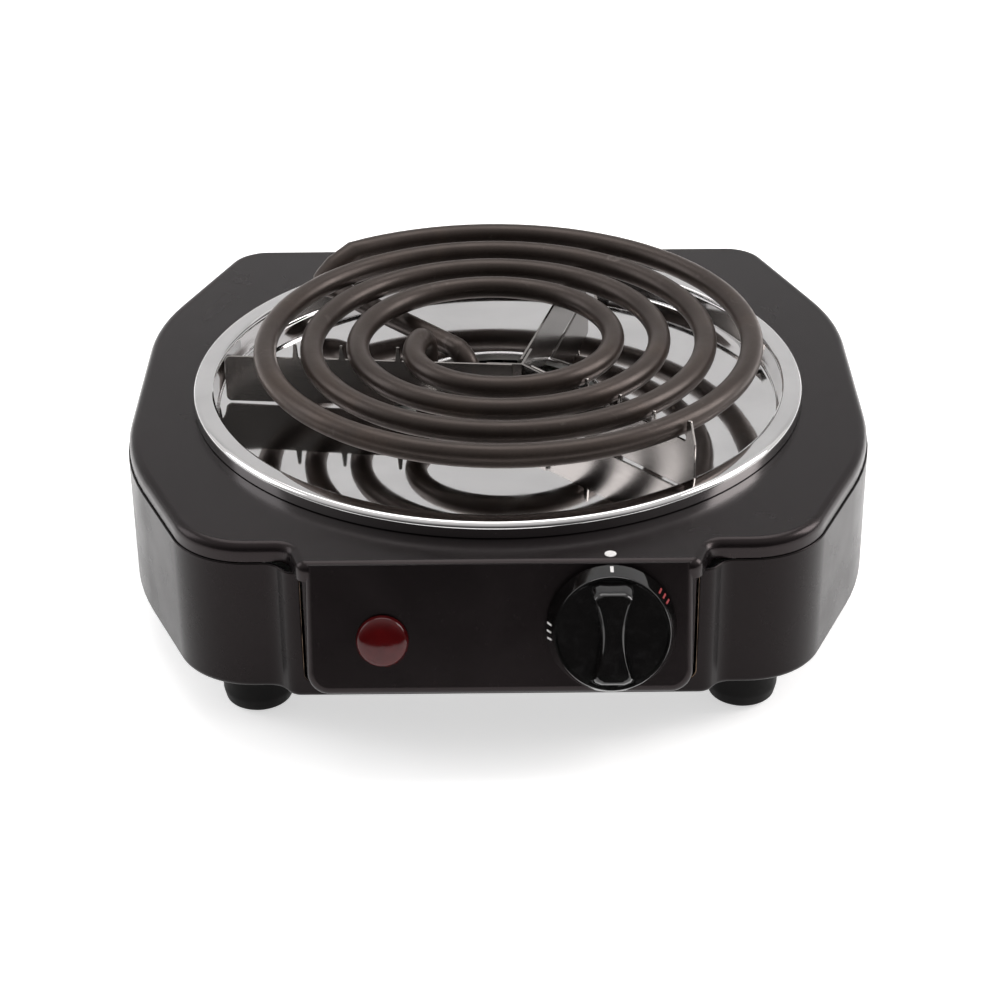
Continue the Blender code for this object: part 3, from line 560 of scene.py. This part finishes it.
def inset(outline, distance):
    """Move an anticlockwise outline inwards by a distance."""
    moved = []
    for i, point in enumerate(outline):
        here = Vector(point)
        before = (here - Vector(outline[i - 1])).normalized()
        after = (Vector(outline[(i + 1) % len(outline)]) - here).normalized()
        along = (before + after).normalized()
        normal = Vector((-along.y, along.x))
        moved.append(tuple(here + normal * distance / max(0.3, along.dot(after))))
    return moved


def sheet_profile(line, thickness):
    """Closed profile of a sheet whose outer face follows a (radius, z) line."""
    under = []
    for i, point in enumerate(line):
        here = Vector(point)
        before = (here - Vector(line[i - 1])).normalized() if i else None
        after = (Vector(line[i + 1]) - here).normalized() if i + 1 < len(line) else None
        along = ((before or after) + (after or before)).normalized()
        lean = along.dot(after or before)
        under.append(tuple(here + Vector((-along.y, along.x)) * thickness / lean))
    return list(line) + under[::-1]


def smooth_route(points, step):
    """Catmull-Rom curve through the points, about one sample per step."""
    padded = [2 * points[0] - points[1], *points, 2 * points[-1] - points[-2]]
    route = []
    for i in range(1, len(padded) - 2):
        a, b, c, d = padded[i - 1:i + 3]
        count = max(1, round((c - b).length / step))
        for k in range(count):
            t = k / count
            route.append(0.5 * (2 * b + (c - a) * t + (2 * a - 5 * b + 4 * c - d) * t * t
                                + (3 * b - a - 3 * c + d) * t ** 3))
    route.append(points[-1])
    return route


def shape_with(target, tool, operation):
    """Apply a Boolean and drop the tool."""
    change = target.modifiers.new("shape", "BOOLEAN")
    change.operation = operation
    change.object = tool
    bake(target)
    bpy.data.objects.remove(tool)


def bake(item):
    """Replace an object's mesh by its evaluated one."""
    view = bpy.context.evaluated_depsgraph_get()
    mesh = bpy.data.meshes.new_from_object(item.evaluated_get(view))
    item.modifiers.clear()
    item.data = mesh


def drill(target, radius, low, high, where, centre=(0, 0, 0), segments=32):
    profile = [(0, low), (radius, low), (radius, high), (0, high)]
    tool = turned("tool", profile, target.data.materials[0], where @ Matrix.Translation(centre), segments)
    shape_with(target, tool, "DIFFERENCE")


def drill_for_screw(target, node, low, high):
    """Cut a clearance hole where a screw of the CAD model passes through."""
    spot = middle_mm(node)
    drill(target, SCREW_HOLE_R, low, high, PAN, (spot.x, spot.y - PAN_Y, 0), 20)


def soften(item, width_mm, angle_deg=40.0, segments=2):
    """Round the sharp edges, and keep flat faces flat in the shading."""
    bevel = item.modifiers.new("bevel", "BEVEL")
    bevel.width = width_mm * MM
    bevel.segments = segments
    bevel.limit_method = "ANGLE"
    bevel.angle_limit = math.radians(angle_deg)
    bevel.harden_normals = False
    even_normals(item)


def even_normals(item):
    item.data.shade_smooth()
    normals = item.modifiers.new("normals", "WEIGHTED_NORMAL")
    normals.keep_sharp = True


def settle(item, slot, *nodes, body=BODY):
    """Attach a finished piece to the body it rides on and hide the CAD nodes it stands for. The slot argument
    is not used.
    """
    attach(item, body)
    if nodes:
        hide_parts(*nodes)


# ---------------------------------------------------------------- body shells
def body_outline(shoulder_x, front_x, front_y, shoulder_r, front_r):
    right = [(front_x, front_y, front_r), (shoulder_x, CHEEK_Y, shoulder_r), (87.0, CHEEK_Y, 24.7),
             (SIDE_X, -38.8, 95.0), (SIDE_X, 48.4, 85.0), (89.4, REAR_Y, 14.0)]
    return fillet_loop(right + [(-x, y, radius) for x, y, radius in reversed(right)])


def at_height(outline, z):
    return [(x, y, z) for x, y in outline]


def rounded_plate(half_x, half_y, radius, step_deg=4.0):
    signs = ((1, -1), (1, 1), (-1, 1), (-1, -1))
    return fillet_loop([(sx * half_x, sy * half_y, radius) for sx, sy in signs], step_deg)


def notch_outline(grow=0.0):
    """Front view (x, z) of the notch: rounded corners below, running out at the top edge."""
    half = NOTCH_HALF + grow
    low = NOTCH_Z - grow
    top = SEAM_Z + 12
    return fillet_loop([(-half, low, NOTCH_CORNER + grow), (half, low, NOTCH_CORNER + grow),
                        (half, top, 1.0), (-half, top, 1.0)], 8.0)


def make_base_shell():
    plan = body_outline(64.0, 59.5, NOTCH_Y, 6.0, 5.0)
    loops = [at_height(inset(plan, BASE_EDGE - side), FLOOR_Z + BASE_EDGE - height)
             for side, height in arc(BASE_EDGE, 90, 0, 6)]
    loops += [at_height(plan, FLOOR_Z + BASE_EDGE + (SEAM_Z - FLOOR_Z - BASE_EDGE) * k / BASE_LEVELS)
              for k in range(1, BASE_LEVELS + 1)]
    inner = inset(plan, SHEET)
    loops += [at_height(inner, SEAM_Z), at_height(inner, FLOOR_Z + BASE_EDGE),
              at_height(inset(plan, BASE_EDGE), FLOOR_Z + SHEET)]
    base = loft("base_shell_fine", loops, LOOKS["shell_paint"], PAN)
    cutter = [[(x, y, z) for x, z in notch_outline()] for y in (-130, -90)]
    shape_with(base, loft("tool", cutter, LOOKS["shell_paint"], PAN), "DIFFERENCE")
    opening = rounded_plate(PLATE_HALF[0] - OPENING_RIM, PLATE_HALF[1] - OPENING_RIM, 22.0)
    shape_with(base, extrude("tool", opening, FLOOR_Z - 5, FLOOR_Z + 5, LOOKS["shell_paint"], PAN),
               "DIFFERENCE")
    gland = middle_mm("cord_gland")
    rear = Matrix.Translation((gland.x, REAR_Y, gland.z)) @ Matrix.Rotation(math.pi / 2, 4, "X")
    drill(base, GLAND_HOLE_R, -8, 8, PAN @ rear)
    soften(base, 0.3)
    settle(base, "shell_paint", "base_shell")


def make_notch_edge():
    """The shell's raw edge beside the panel, a narrow strip of bare steel just inside the notch."""
    outline = [point for point in notch_outline(RAW_EDGE_OUT) if point[1] < RAW_EDGE_TOP - 0.2]
    inner = [point for point in notch_outline(-RAW_EDGE_IN) if point[1] < RAW_EDGE_TOP - 0.2]
    low_y = NOTCH_Y + 0.12
    for side, place in ((-1, "left"), (1, "right")):
        outer_part = sorted({p for p in outline if p[0] * side > 40}, key=lambda p: p[1])
        inner_part = sorted({p for p in inner if p[0] * side > 40}, key=lambda p: p[1])
        count = min(len(outer_part), len(inner_part))
        outer_part = outer_part[:count] + [(side * (NOTCH_HALF + RAW_EDGE_OUT), RAW_EDGE_TOP)]
        inner_part = inner_part[:count] + [(side * (NOTCH_HALF - RAW_EDGE_IN), RAW_EDGE_TOP)]
        high_y = low_y + RAW_EDGE_DEEP
        loops = [[(ox, low_y, oz), (ox, high_y, oz), (ix, high_y, iz), (ix, low_y, iz)]
                 for (ox, oz), (ix, iz) in zip(outer_part, inner_part)]
        strip = loft(f"notch_edge_{place}", loops, LOOK_CUT_EDGE, PAN)
        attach(strip, BODY)


def panel_point(u, v, w):
    return (u, FACE_Y + v * math.sin(LEAN) - w * math.cos(LEAN),
            FACE_Z + v * math.cos(LEAN) + w * math.sin(LEAN))


def panel_loop(outset, w, top=PANEL_TOP_V):
    corners = [(-FACE_HALF - outset, -outset, FACE_CORNER + outset),
               (FACE_HALF + outset, -outset, FACE_CORNER + outset),
               (FACE_HALF + outset, top, 1.0), (-FACE_HALF - outset, top, 1.0)]
    return [panel_point(u, v, w) for u, v in fillet_loop(corners, 6.0)]


def panel_back_loop(shrink):
    wide = (PANEL_BACK_HALF - shrink) / (FACE_HALF + FACE_EDGE)
    lowest = min(point[2] for point in panel_loop(FACE_EDGE, -FACE_EDGE))
    low = PANEL_BACK_Z + shrink
    return [(x * wide, PANEL_BACK_Y, low + z - lowest)
            for x, _, z in panel_loop(FACE_EDGE, -FACE_EDGE, PANEL_TOP_V - shrink * 4)]


def make_top_cover():
    paint = LOOKS["cover_paint"]
    skin = inset(body_outline(60.0, 56.3, NOSE_Y, 4.0, 4.5), COVER_INSET)
    loops = [at_height(inset(skin, COVER_EDGE - side), COVER_Z - COVER_EDGE + height)
             for side, height in arc(COVER_EDGE, 90, 0, 9)]
    loops += [at_height(skin, SEAM_Z + GAP), at_height(inset(skin, SHEET), SEAM_Z + GAP)]
    loops += [at_height(inset(skin, COVER_EDGE - side), COVER_Z - COVER_EDGE + height)
              for side, height in arc(COVER_EDGE - SHEET, 0, 90, 5)]
    cover = loft("top_cover_fine", loops, paint, PAN)
    drill(cover, COVER_HOLE_R, COVER_Z - 5, COVER_Z + 5, PAN, segments=128)
    outer = [panel_loop(side, height - FACE_EDGE) for side, height in arc(FACE_EDGE, 90, 0, 8)]
    inner = [panel_loop(side, height - FACE_EDGE, PANEL_TOP_V - SHEET)
             for side, height in arc(FACE_EDGE - SHEET, 90, 0, 4)]
    tray = loft("tool", outer + [panel_back_loop(0.0), panel_back_loop(SHEET)] + inner[::-1], paint, PAN)
    trim = [(-70, -145), (70, -145), (70, -85), (-70, -85)]
    top = COVER_Z - SHEET / 2
    shape_with(tray, extrude("tool_trim", trim, top, top + 40, paint, PAN), "DIFFERENCE")
    shape_with(cover, tray, "UNION")
    drill(cover, SHAFT_HOLE_R, -3, 3, PANEL, (KNOB_X, KNOB_V, 0))
    drill(cover, LENS_HOLE_R, -3, 3, PANEL, (LENS_X, LENS_V, 0))
    cover.data.set_sharp_from_angle(angle=math.radians(35))
    soften(cover, 0.25)
    settle(cover, "cover_paint", "top_cover")


def make_bottom_plate():
    """Zinc-plated sheet with two rows of rounded vents."""
    steel = LOOKS["zinc_steel"]
    low, high = box_mm("bottom_plate")
    plate = extrude("bottom_plate_fine", rounded_plate(*PLATE_HALF, 25.0), low.z, high.z, steel, PAN)
    for row in (-1, 1):
        for k in range(-3, 4):
            tool = extrude("tool", rounded_plate(*VENT_HALF, 1.5, 15.0), low.z - 3, high.z + 3, steel,
                           PAN @ Matrix.Translation((k * VENT_PITCH, row * VENT_ROW_Y, 0)))
            shape_with(plate, tool, "DIFFERENCE")
    for place in PLACES:
        drill_for_screw(plate, f"plate_screw_{place}", low.z - 3, high.z + 3)
    soften(plate, 0.15)
    settle(plate, "zinc_steel", "bottom_plate")


def over(node):
    """Local millimetres with z from the table up, and the axis through the middle of a node."""
    centre = middle_mm(node)
    return Matrix.Translation((centre.x * MM, centre.y * MM, 0)) @ Matrix.Scale(MM, 4)


def make_screw(node):
    """Pan-head screw with a cross recess in its lower face, in the place of a plain one."""
    low, high = box_mm(node)
    head_r = (high.x - low.x) / 2
    where = over(node)
    head_z = low.z + HEAD_H
    line = [(0, low.z), *[(head_r * 0.55 + side, low.z + 0.9 - height)
                          for side, height in arc(0.9, 90, 0, 6)],
            (head_r - 0.1, low.z + 1.0), (head_r, low.z + 1.2), (head_r, head_z), (1.5, head_z),
            (1.5, high.z), (0, high.z)]
    item = turned(f"{node}_fine", line, LOOKS["zinc_steel"], where, 40)
    for turn in (0, math.pi / 2):
        half_length, half_width = head_r * 0.48, head_r * 0.13
        slot = [(-half_length, -half_width), (half_length, -half_width),
                (half_length, half_width), (-half_length, half_width)]
        spin = Matrix.Rotation(turn + math.radians(25), 4, "Z")
        shape_with(item, extrude("tool", slot, low.z - 1, low.z + 0.9, LOOKS["zinc_steel"], where @ spin),
                   "DIFFERENCE")
    even_normals(item)
    settle(item, "zinc_steel", node)


def make_feet():
    for place in PLACES:
        node = f"foot_{place}"
        low, high = box_mm(node)
        radius = (high.x - low.x) / 2
        top = high.z
        side = rounded([(4.6, 0.0), (radius - 3.2, 0.0), (radius - 0.9, 1.6), (radius - 0.1, 5.0),
                        (radius - 0.1, top - 2.4), (radius, top - 1.6), (radius, top - 0.4),
                        (radius - 0.6, top), (2.3, top), (2.3, 11.5), (4.6, 11.5)], 0.6)
        settle(turned(f"{node}_fine", side, LOOKS["rubber"], over(node), 64), "rubber", node)
        make_screw(f"foot_screw_{place}")
        make_screw(f"plate_screw_{place}")


# ---------------------------------------------------------------- pan, ring and coil
def make_trim_ring():
    line = rounded([(RING_R, COVER_Z + GAP), (RING_R, RING_Z - 1.1), (RING_R - 1.1, RING_Z),
                    (RING_INNER_R + 0.6, RING_Z), (RING_INNER_R, RING_Z - 0.4)], 1.2, 8)
    ring = turned("trim_ring_fine", sheet_profile(line, RING_SHEET), LOOKS["chrome"], PAN, 192, sharp_deg=50)
    settle(ring, "chrome", "trim_ring")


def make_drip_pan():
    """A shallow mirror-bright tray: a steep side, and a floor that falls slightly to its hole."""
    lip = rounded([(PAN_RIM_R, COVER_Z + GAP), (PAN_RIM_R, PAN_RIM_Z), (88.9, PAN_RIM_Z), (87.4, 58.3),
                   (TRAY_R, TRAY_Z)], 1.0, 6)
    floor = [(radius, TRAY_Z - (TRAY_Z - PAN_FLOOR_Z) * (TRAY_R - radius) / (TRAY_R - PAN_HOLE_R))
             for radius in (78.0, 70.0, 60.0, 50.0, 42.0)]
    rim = rounded([(PAN_HOLE_R + 3.0, PAN_FLOOR_Z), (PAN_HOLE_R, PAN_FLOOR_Z),
                   (PAN_HOLE_R, PAN_FLOOR_Z - 2.6)], 1.2, 6)
    pan = turned("drip_pan_fine", sheet_profile(lip + floor + rim, PAN_SHEET), LOOKS["chrome"], PAN, 160,
                 sharp_deg=50)
    for node in ("bracket_screw_left", "bracket_screw_right"):
        drill_for_screw(pan, node, PAN_FLOOR_Z - 5, PAN_FLOOR_Z + 5)
    even_normals(pan)
    settle(pan, "chrome", "drip_pan")


def coil_point(turns):
    angle = -TURN * turns
    tucked = max(0.0, (turns - TUCK_START) / (COIL_END - TUCK_START))
    radius = COIL_R - COIL_PITCH * turns - TUCK * tucked ** 2
    return Vector((radius * math.cos(angle), radius * math.sin(angle), COIL_Z))


def inner_leg():
    end = coil_point(COIL_END)
    return end + (end - coil_point(COIL_END - 0.01)).normalized() * LEG_BEND_R


def outer_lead():
    """From the tube's outer foot, up and under the turns, then up into the outermost one."""
    start = coil_point(COIL_START)
    back = (start - coil_point(COIL_START + 0.01)).normalized()
    foot = Vector((*OUTER_LEG, 0))
    dive = start + back * 12 + Vector((0, 0, LEG_Z - COIL_Z))
    inward = foot - dive
    inward.z = 0
    inward.normalize()
    top = foot + Vector((0, 0, LEG_Z))
    rise = [foot + Vector((0, 0, z)) for z in (LEG_END_Z, 52, 61)]
    under = [top - inward * 0.8 - Vector((0, 0, 4)), top - inward * 5 - Vector((0, 0, 0.6)),
             top - inward * 11, dive + inward * 22]
    climb = [dive + inward * 8 - back, dive + inward * 2 + back * 1.5 + Vector((0, 0, 0.8)),
             start + back * 7.5 + inward * 0.3 - Vector((0, 0, 3.2))]
    return rise + under + climb


def make_coil():
    turns = COIL_END - COIL_START
    count = round(turns * 90)
    spiral = [coil_point(COIL_START + turns * k / count) for k in range(count + 1)]
    bend = inner_leg()
    ahead = (bend - spiral[-1]).normalized()
    drop = [spiral[-1] + ahead * side + Vector((0, 0, height - LEG_BEND_R))
            for side, height in arc(LEG_BEND_R, 90, 0, 14)]
    down = [Vector((bend.x, bend.y, z)) for z in (60.0, LEG_END_Z)]
    route = smooth_route(outer_lead(), 2.0) + spiral + drop[1:] + down
    coil = tube("heating_coil_fine", route, TUBE_R, 24, LOOKS["coil_sheath"], PAN)
    settle(coil, "coil_sheath", "heating_coil")


def turn_crossings(along):
    """How far out from the hub each turn of the coil crosses a blade, outermost turn first."""
    found = []
    last = 0.0
    for k in range(round((COIL_END - COIL_START) * 360) + 1):
        offset = coil_point(COIL_START + k / 360).to_2d() - Vector(HUB)
        side = along.cross(offset)
        if side * last < 0 and offset.dot(along) > 0:
            found.append(offset.dot(along))
        last = side
    return found


def blade_outline(angle, tall_hook):
    """Side view of a support blade: distance from the hub across, height up, hooks along the top."""
    along = Vector((math.cos(angle), math.sin(angle)))
    inset_hub = along.dot(Vector(HUB))
    reach = math.sqrt(inset_hub ** 2 - Vector(HUB).length_squared + BLADE_END_R ** 2) - inset_hub
    outline = [(BLADE_START, BLADE_TOP, 0.3), (BLADE_START, BLADE_BOTTOM, 0.3),
               (reach, BLADE_BOTTOM, 1.6)]
    outer, *inner = [distance + TUBE_R + HOOK_GAP for distance in turn_crossings(along)]
    if tall_hook:
        near, far = TALL_HOOK_TIP
        outline += [(reach, BLADE_TOP, 3.0), (outer + far, TALL_HOOK_TOP, 0.7),
                    (outer + near, TALL_HOOK_TOP, 0.7), (outer, BLADE_TOP, 0.5)]
    else:
        outline += [(reach, BLADE_TOP, 2.0)]
    near, far = HOOK_TIP
    for foot in inner:
        outline += [(foot + HOOK_FOOT, BLADE_TOP, 0.4), (foot + far, HOOK_TOP, 0.45),
                    (foot + near, HOOK_TOP, 0.45), (foot, BLADE_TOP, 0.4)]
    return fillet_loop(outline, 15.0)


def make_support():
    steel = LOOKS["support_steel"]
    hub = Matrix.Translation((*HUB, 0))
    for place, degrees in BLADE_ANGLES.items():
        angle = math.radians(degrees)
        loops = [[(r, side, z) for r, z in blade_outline(angle, place == "front")]
                 for side in (BLADE_SIDE, BLADE_SIDE + BLADE_T)]
        blade = loft(f"support_blade_{place}_fine", loops, steel, PAN @ hub @ Matrix.Rotation(angle, 4, "Z"))
        soften(blade, 0.18)
        settle(blade, "support_steel", f"support_blade_{place}")


# ---------------------------------------------------------------- controls
def make_knob():
    """Skirted knob with a waisted grip; its skirt flares behind a rimmed face."""
    black = LOOKS["knob_plastic"]
    back = KNOB_LIFT + 0.1
    cup = [(KNOB_BASE_R - 1.4, back), (KNOB_BASE_R - 0.2, back), (KNOB_BASE_R, back + 0.3),
           (KNOB_BASE_R, back + 0.8), (KNOB_FACE_R + 0.25, KNOB_FACE_W - 1.5),
           (KNOB_FACE_R + 0.05, KNOB_FACE_W - 0.5), (KNOB_FACE_R - 0.25, KNOB_FACE_W),
           (KNOB_FACE_R - 0.75, KNOB_FACE_W), (KNOB_FACE_R - 1.15, KNOB_FACE_W - 0.4),
           (0, KNOB_FACE_W - 0.4), (0, SOCKET_W), (SHAFT_R + GAP, SOCKET_W),
           (SHAFT_R + GAP, back + 0.4), (5.6, back + 0.4), (5.6, KNOB_WEB_W),
           (KNOB_FACE_R - 1.6, KNOB_WEB_W)]
    knob = turned("control_knob_fine", cup, black, KNOB, 128)
    levels = ((7.8, 0.0, 2.7), (KNOB_FACE_W - 0.4, 0.0, 2.7), (KNOB_FACE_W + 1.0, 0.15, 2.2),
              (GRIP_W - 2.2, 0.6, 1.35), (GRIP_W - 0.7, 0.9, 0.75), (GRIP_W - 0.2, 1.3, 0.35),
              (GRIP_W, 1.8, 0.0))
    grip = loft("tool", [grip_loop(pull, GRIP_END + tip, w) for w, pull, tip in levels], black, KNOB)
    shape_with(knob, grip, "UNION")
    knob.data.set_sharp_from_angle(angle=math.radians(30))
    soften(knob, 0.18, 34.0, 3)
    settle(knob, "knob_plastic", "control_knob", body=TURNING)


def grip_loop(pull, reach, w):
    """Hourglass outline of the grip: narrow at the middle, its ends bowed like the knob's rim."""
    side = []
    steps = 20
    for k in range(steps + 1):
        along = -1 + 2 * k / steps
        half = 3.9 + 2.1 * along * along - pull
        side.append((half, along * (reach - 1.3)))
    end = side[-1][0]
    tip = [(end - 0.5, reach - 0.6), (end - 1.3, reach - 0.2)]
    tip += [(end * x, reach + 0.25 * (1 - x * x)) for x in (0.6, 0.3, 0.0, -0.3, -0.6)]
    tip += [(-end + 1.3, reach - 0.2), (-end + 0.5, reach - 0.6)]
    left = [(-x, y) for x, y in reversed(side)]
    tail = [(-x, -y) for x, y in tip]
    return [(x, y, w) for x, y in side + tip + left + tail]


def skirt_mark(name, clock_deg, width_deg, mat):
    """A thin printed tick on the knob's conical skirt, at a clock angle from its top."""
    inner, outer = (KNOB_FACE_R + 0.55, KNOB_FACE_W - 2.3), (KNOB_BASE_R - 0.25, KNOB_LIFT + 1.55)
    loops = []
    for lift in (0.0, 0.12):
        loop = []
        for turn, (radius, w) in ((-1, inner), (1, inner), (1, outer), (-1, outer)):
            angle = math.radians(90 - clock_deg - turn * width_deg / 2)
            reach = radius + lift
            loop.append((reach * math.cos(angle), reach * math.sin(angle), w + lift * 0.3))
        loops.append(loop)
    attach(loft(name, loops, mat, KNOB), TURNING)


def make_marks():
    """Plain ticks on the knob and the index dot on the cover above it. No lettering."""
    white = look_mark("white_print", (0.80, 0.79, 0.78))
    red = look_mark("red_print", (0.30, 0.03, 0.035))
    skirt_mark("tick_off", 0, 3.0, white)
    for k, clock in enumerate((-97, -90, -83)):
        skirt_mark(f"tick_low_{k}", clock, 1.6, white)
    for k, clock in enumerate((50, 56, 62)):
        skirt_mark(f"tick_high_{k}", clock, 1.8, red)
    spot = Matrix.Translation((KNOB_X, DOT_Y, COVER_Z))
    profile = [(0, -0.1), (DOT_R, -0.1), (DOT_R, 0.06), (DOT_R - 0.15, 0.10), (0, 0.10)]
    dot = turned("index_dot", profile, white, PAN @ spot, 48)
    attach(dot, BODY)


def make_lens():
    """Domed pilot lens with a stepped rim, open behind for its lamp."""
    where = PANEL @ Matrix.Translation((LENS_X, LENS_V, 0))
    inner_r, outer_r, end = LENS_STEM
    crown = [(LENS_R * math.sin(math.radians(a)) * 0.98,
              LENS_STEP_W + LENS_DOME_H * math.cos(math.radians(a))) for a in range(90, 0, -6)]
    dome = [(LENS_R, GAP), (LENS_R, 1.0), (LENS_R - 0.2, LENS_STEP_W), *crown,
            (0, LENS_STEP_W + LENS_DOME_H), (0, 1.8), (3.6, 1.4), (inner_r, 0.6), (inner_r, end),
            (outer_r, end), (outer_r, GAP)]
    lens = turned("indicator_lens_fine", dome, LOOKS["lens_red"], where, 96)
    settle(lens, "lens_red", "indicator_lens")


def make_gland():
    gland = middle_mm("cord_gland")
    where = PAN @ Matrix.Translation((gland.x, REAR_Y, gland.z)) @ Matrix.Rotation(-math.pi / 2, 4, "X")
    inside = -SHEET - GAP
    line = [(CORD_R, inside - 3.0), (CORD_R, GLAND_REACH - 0.5), (CORD_R + 0.5, GLAND_REACH),
            (6.3, GLAND_REACH), (6.9, GLAND_REACH - 0.4), (8.0, 2.2), (GLAND_FLANGE_R, 1.2),
            (GLAND_FLANGE_R, GAP), (GLAND_NECK_R, GAP), (GLAND_NECK_R, inside),
            (GLAND_TAIL_R, inside), (GLAND_TAIL_R, inside - 3.0)]
    settle(turned("cord_gland_fine", line, LOOKS["rubber"], where, 64), "rubber", "cord_gland")


# ---------------------------------------------------------------- stage, lights and camera
SKY_AXIS = (0.0, 0.75, 0.66)
CAMERA_LENS = 90.0
CAMERA_TARGET = Vector((0.0004, -0.0710, 0.0663))
CAMERA_DISTANCE = 0.713
CAMERA_PITCH = math.radians(29.5)
CAMERA_ROLL = math.radians(-0.5)


def map_range(tree, source, ends, results):
    """Map a value between two ends to a value between two results."""
    node = tree.nodes.new("ShaderNodeMapRange")
    for name, value in zip(("From Min", "From Max", "To Min", "To Max"), (*ends, *results)):
        node.inputs[name].default_value = value
    tree.links.new(source, node.inputs["Value"])
    return node


def make_stage():
    look = Look("studio_paper", (0.90, 0.90, 0.90), 0.65)
    # Painted light: the paper glows. Emission is 0.60 up to y = 0.7 m and falls to 0.22 by y = 1.9 m, so the
    # floor under and in front of the object washes out the object's shadow and lights it from below.
    look.set(Emission_Color=(1.0, 1.0, 1.0, 1.0))
    split = look.tree.nodes.new("ShaderNodeSeparateXYZ")
    look.tree.links.new(look.place, split.inputs["Vector"])
    painted_floor_glow = map_range(look.tree, split.outputs["Y"], (0.7, 1.9), (0.60, 0.22))
    look.tree.links.new(painted_floor_glow.outputs["Result"], look.shader.inputs["Emission Strength"])
    look.paint(look.ramp(look.noise(6, 3), (0.3, (0.88, 0.88, 0.88)), (0.7, (0.91, 0.91, 0.91))))
    look.bump(look.noise(300, 3), 0.05, 0.05)
    wide, depth, rise, bend = 4.0, 3.0, 3.0, 1.0
    line = [(-depth, 0.0), (depth - bend, 0.0)]
    line += [(depth - bend + side, bend - height) for side, height in arc(bend, 90, 0, 16)][1:]
    line.append((depth, rise))
    points = [(x, y, z) for y, z in line for x in (-wide, wide)]
    faces = [(2 * k, 2 * k + 1, 2 * k + 3, 2 * k + 2) for k in range(len(line) - 1)]
    mesh = bpy.data.meshes.new("studio_floor")
    mesh.from_pydata(points, [], faces)
    mesh.shade_smooth()
    mesh.materials.append(look.mat)
    floor = bpy.data.objects.new("studio_floor", mesh)
    bpy.context.scene.collection.objects.link(floor)


def add_light(name, place, aim, size, power, tint=(1.0, 1.0, 1.0)):
    data = bpy.data.lights.new(name, "AREA")
    data.shape = "RECTANGLE"
    data.size, data.size_y = size
    data.energy = power
    data.color = tint
    item = bpy.data.objects.new(name, data)
    item.location = place
    item.rotation_euler = (Vector(aim) - Vector(place)).to_track_quat("-Z", "Y").to_euler()
    bpy.context.scene.collection.objects.link(item)


def make_lights():
    """A studio that is bright above and behind the object, and dark on the user's side."""
    world = bpy.data.worlds.new("studio")
    world.use_nodes = True
    tree = world.node_tree
    back = tree.nodes["Background"]
    place = tree.nodes.new("ShaderNodeTexCoord")
    lean = tree.nodes.new("ShaderNodeVectorMath")
    lean.operation = "DOT_PRODUCT"
    lean.inputs[1].default_value = SKY_AXIS
    tree.links.new(place.outputs["Generated"], lean.inputs[0])
    shade = map_range(tree, lean.outputs["Value"], (-0.45, 0.55), (0.06, 0.80))
    shade.interpolation_type = "SMOOTHSTEP"
    tree.links.new(shade.outputs["Result"], back.inputs["Strength"])
    back.inputs["Color"].default_value = (1.0, 0.985, 0.98, 1.0)
    bpy.context.scene.world = world
    bpy.context.scene.view_settings.view_transform = "Standard"
    centre = (0, 0, 0.05)
    add_light("overhead_softbox", (0.0, 0.45, 1.25), centre, (1.2, 0.8), 6, (1.0, 0.98, 0.97))
    add_light("right_softbox", (1.2, 0.15, 0.75), centre, (0.6, 0.8), 10, (1.0, 0.97, 0.96))
    add_light("left_softbox", (-1.2, 0.2, 0.7), centre, (0.6, 0.8), 3, (0.98, 0.98, 1.0))


def make_camera():
    data = bpy.data.cameras.new("camera")
    data.sensor_width = 36.0
    data.lens = CAMERA_LENS
    item = bpy.data.objects.new("camera", data)
    back = Vector((0, -math.cos(CAMERA_PITCH), math.sin(CAMERA_PITCH)))
    aim = (-back).to_track_quat("-Z", "Y")
    item.rotation_mode = "QUATERNION"
    item.rotation_quaternion = aim @ Matrix.Rotation(CAMERA_ROLL, 3, "Z").to_quaternion()
    item.location = CAMERA_TARGET + back * CAMERA_DISTANCE
    bpy.context.scene.collection.objects.link(item)
    bpy.context.scene.camera = item


make_camera()
make_stage()
make_lights()
dress_frame()
make_base_shell()
make_notch_edge()
make_top_cover()
make_bottom_plate()
make_feet()
make_trim_ring()
make_drip_pan()
make_coil()
make_support()
make_knob()
make_marks()
make_lens()
make_gland()
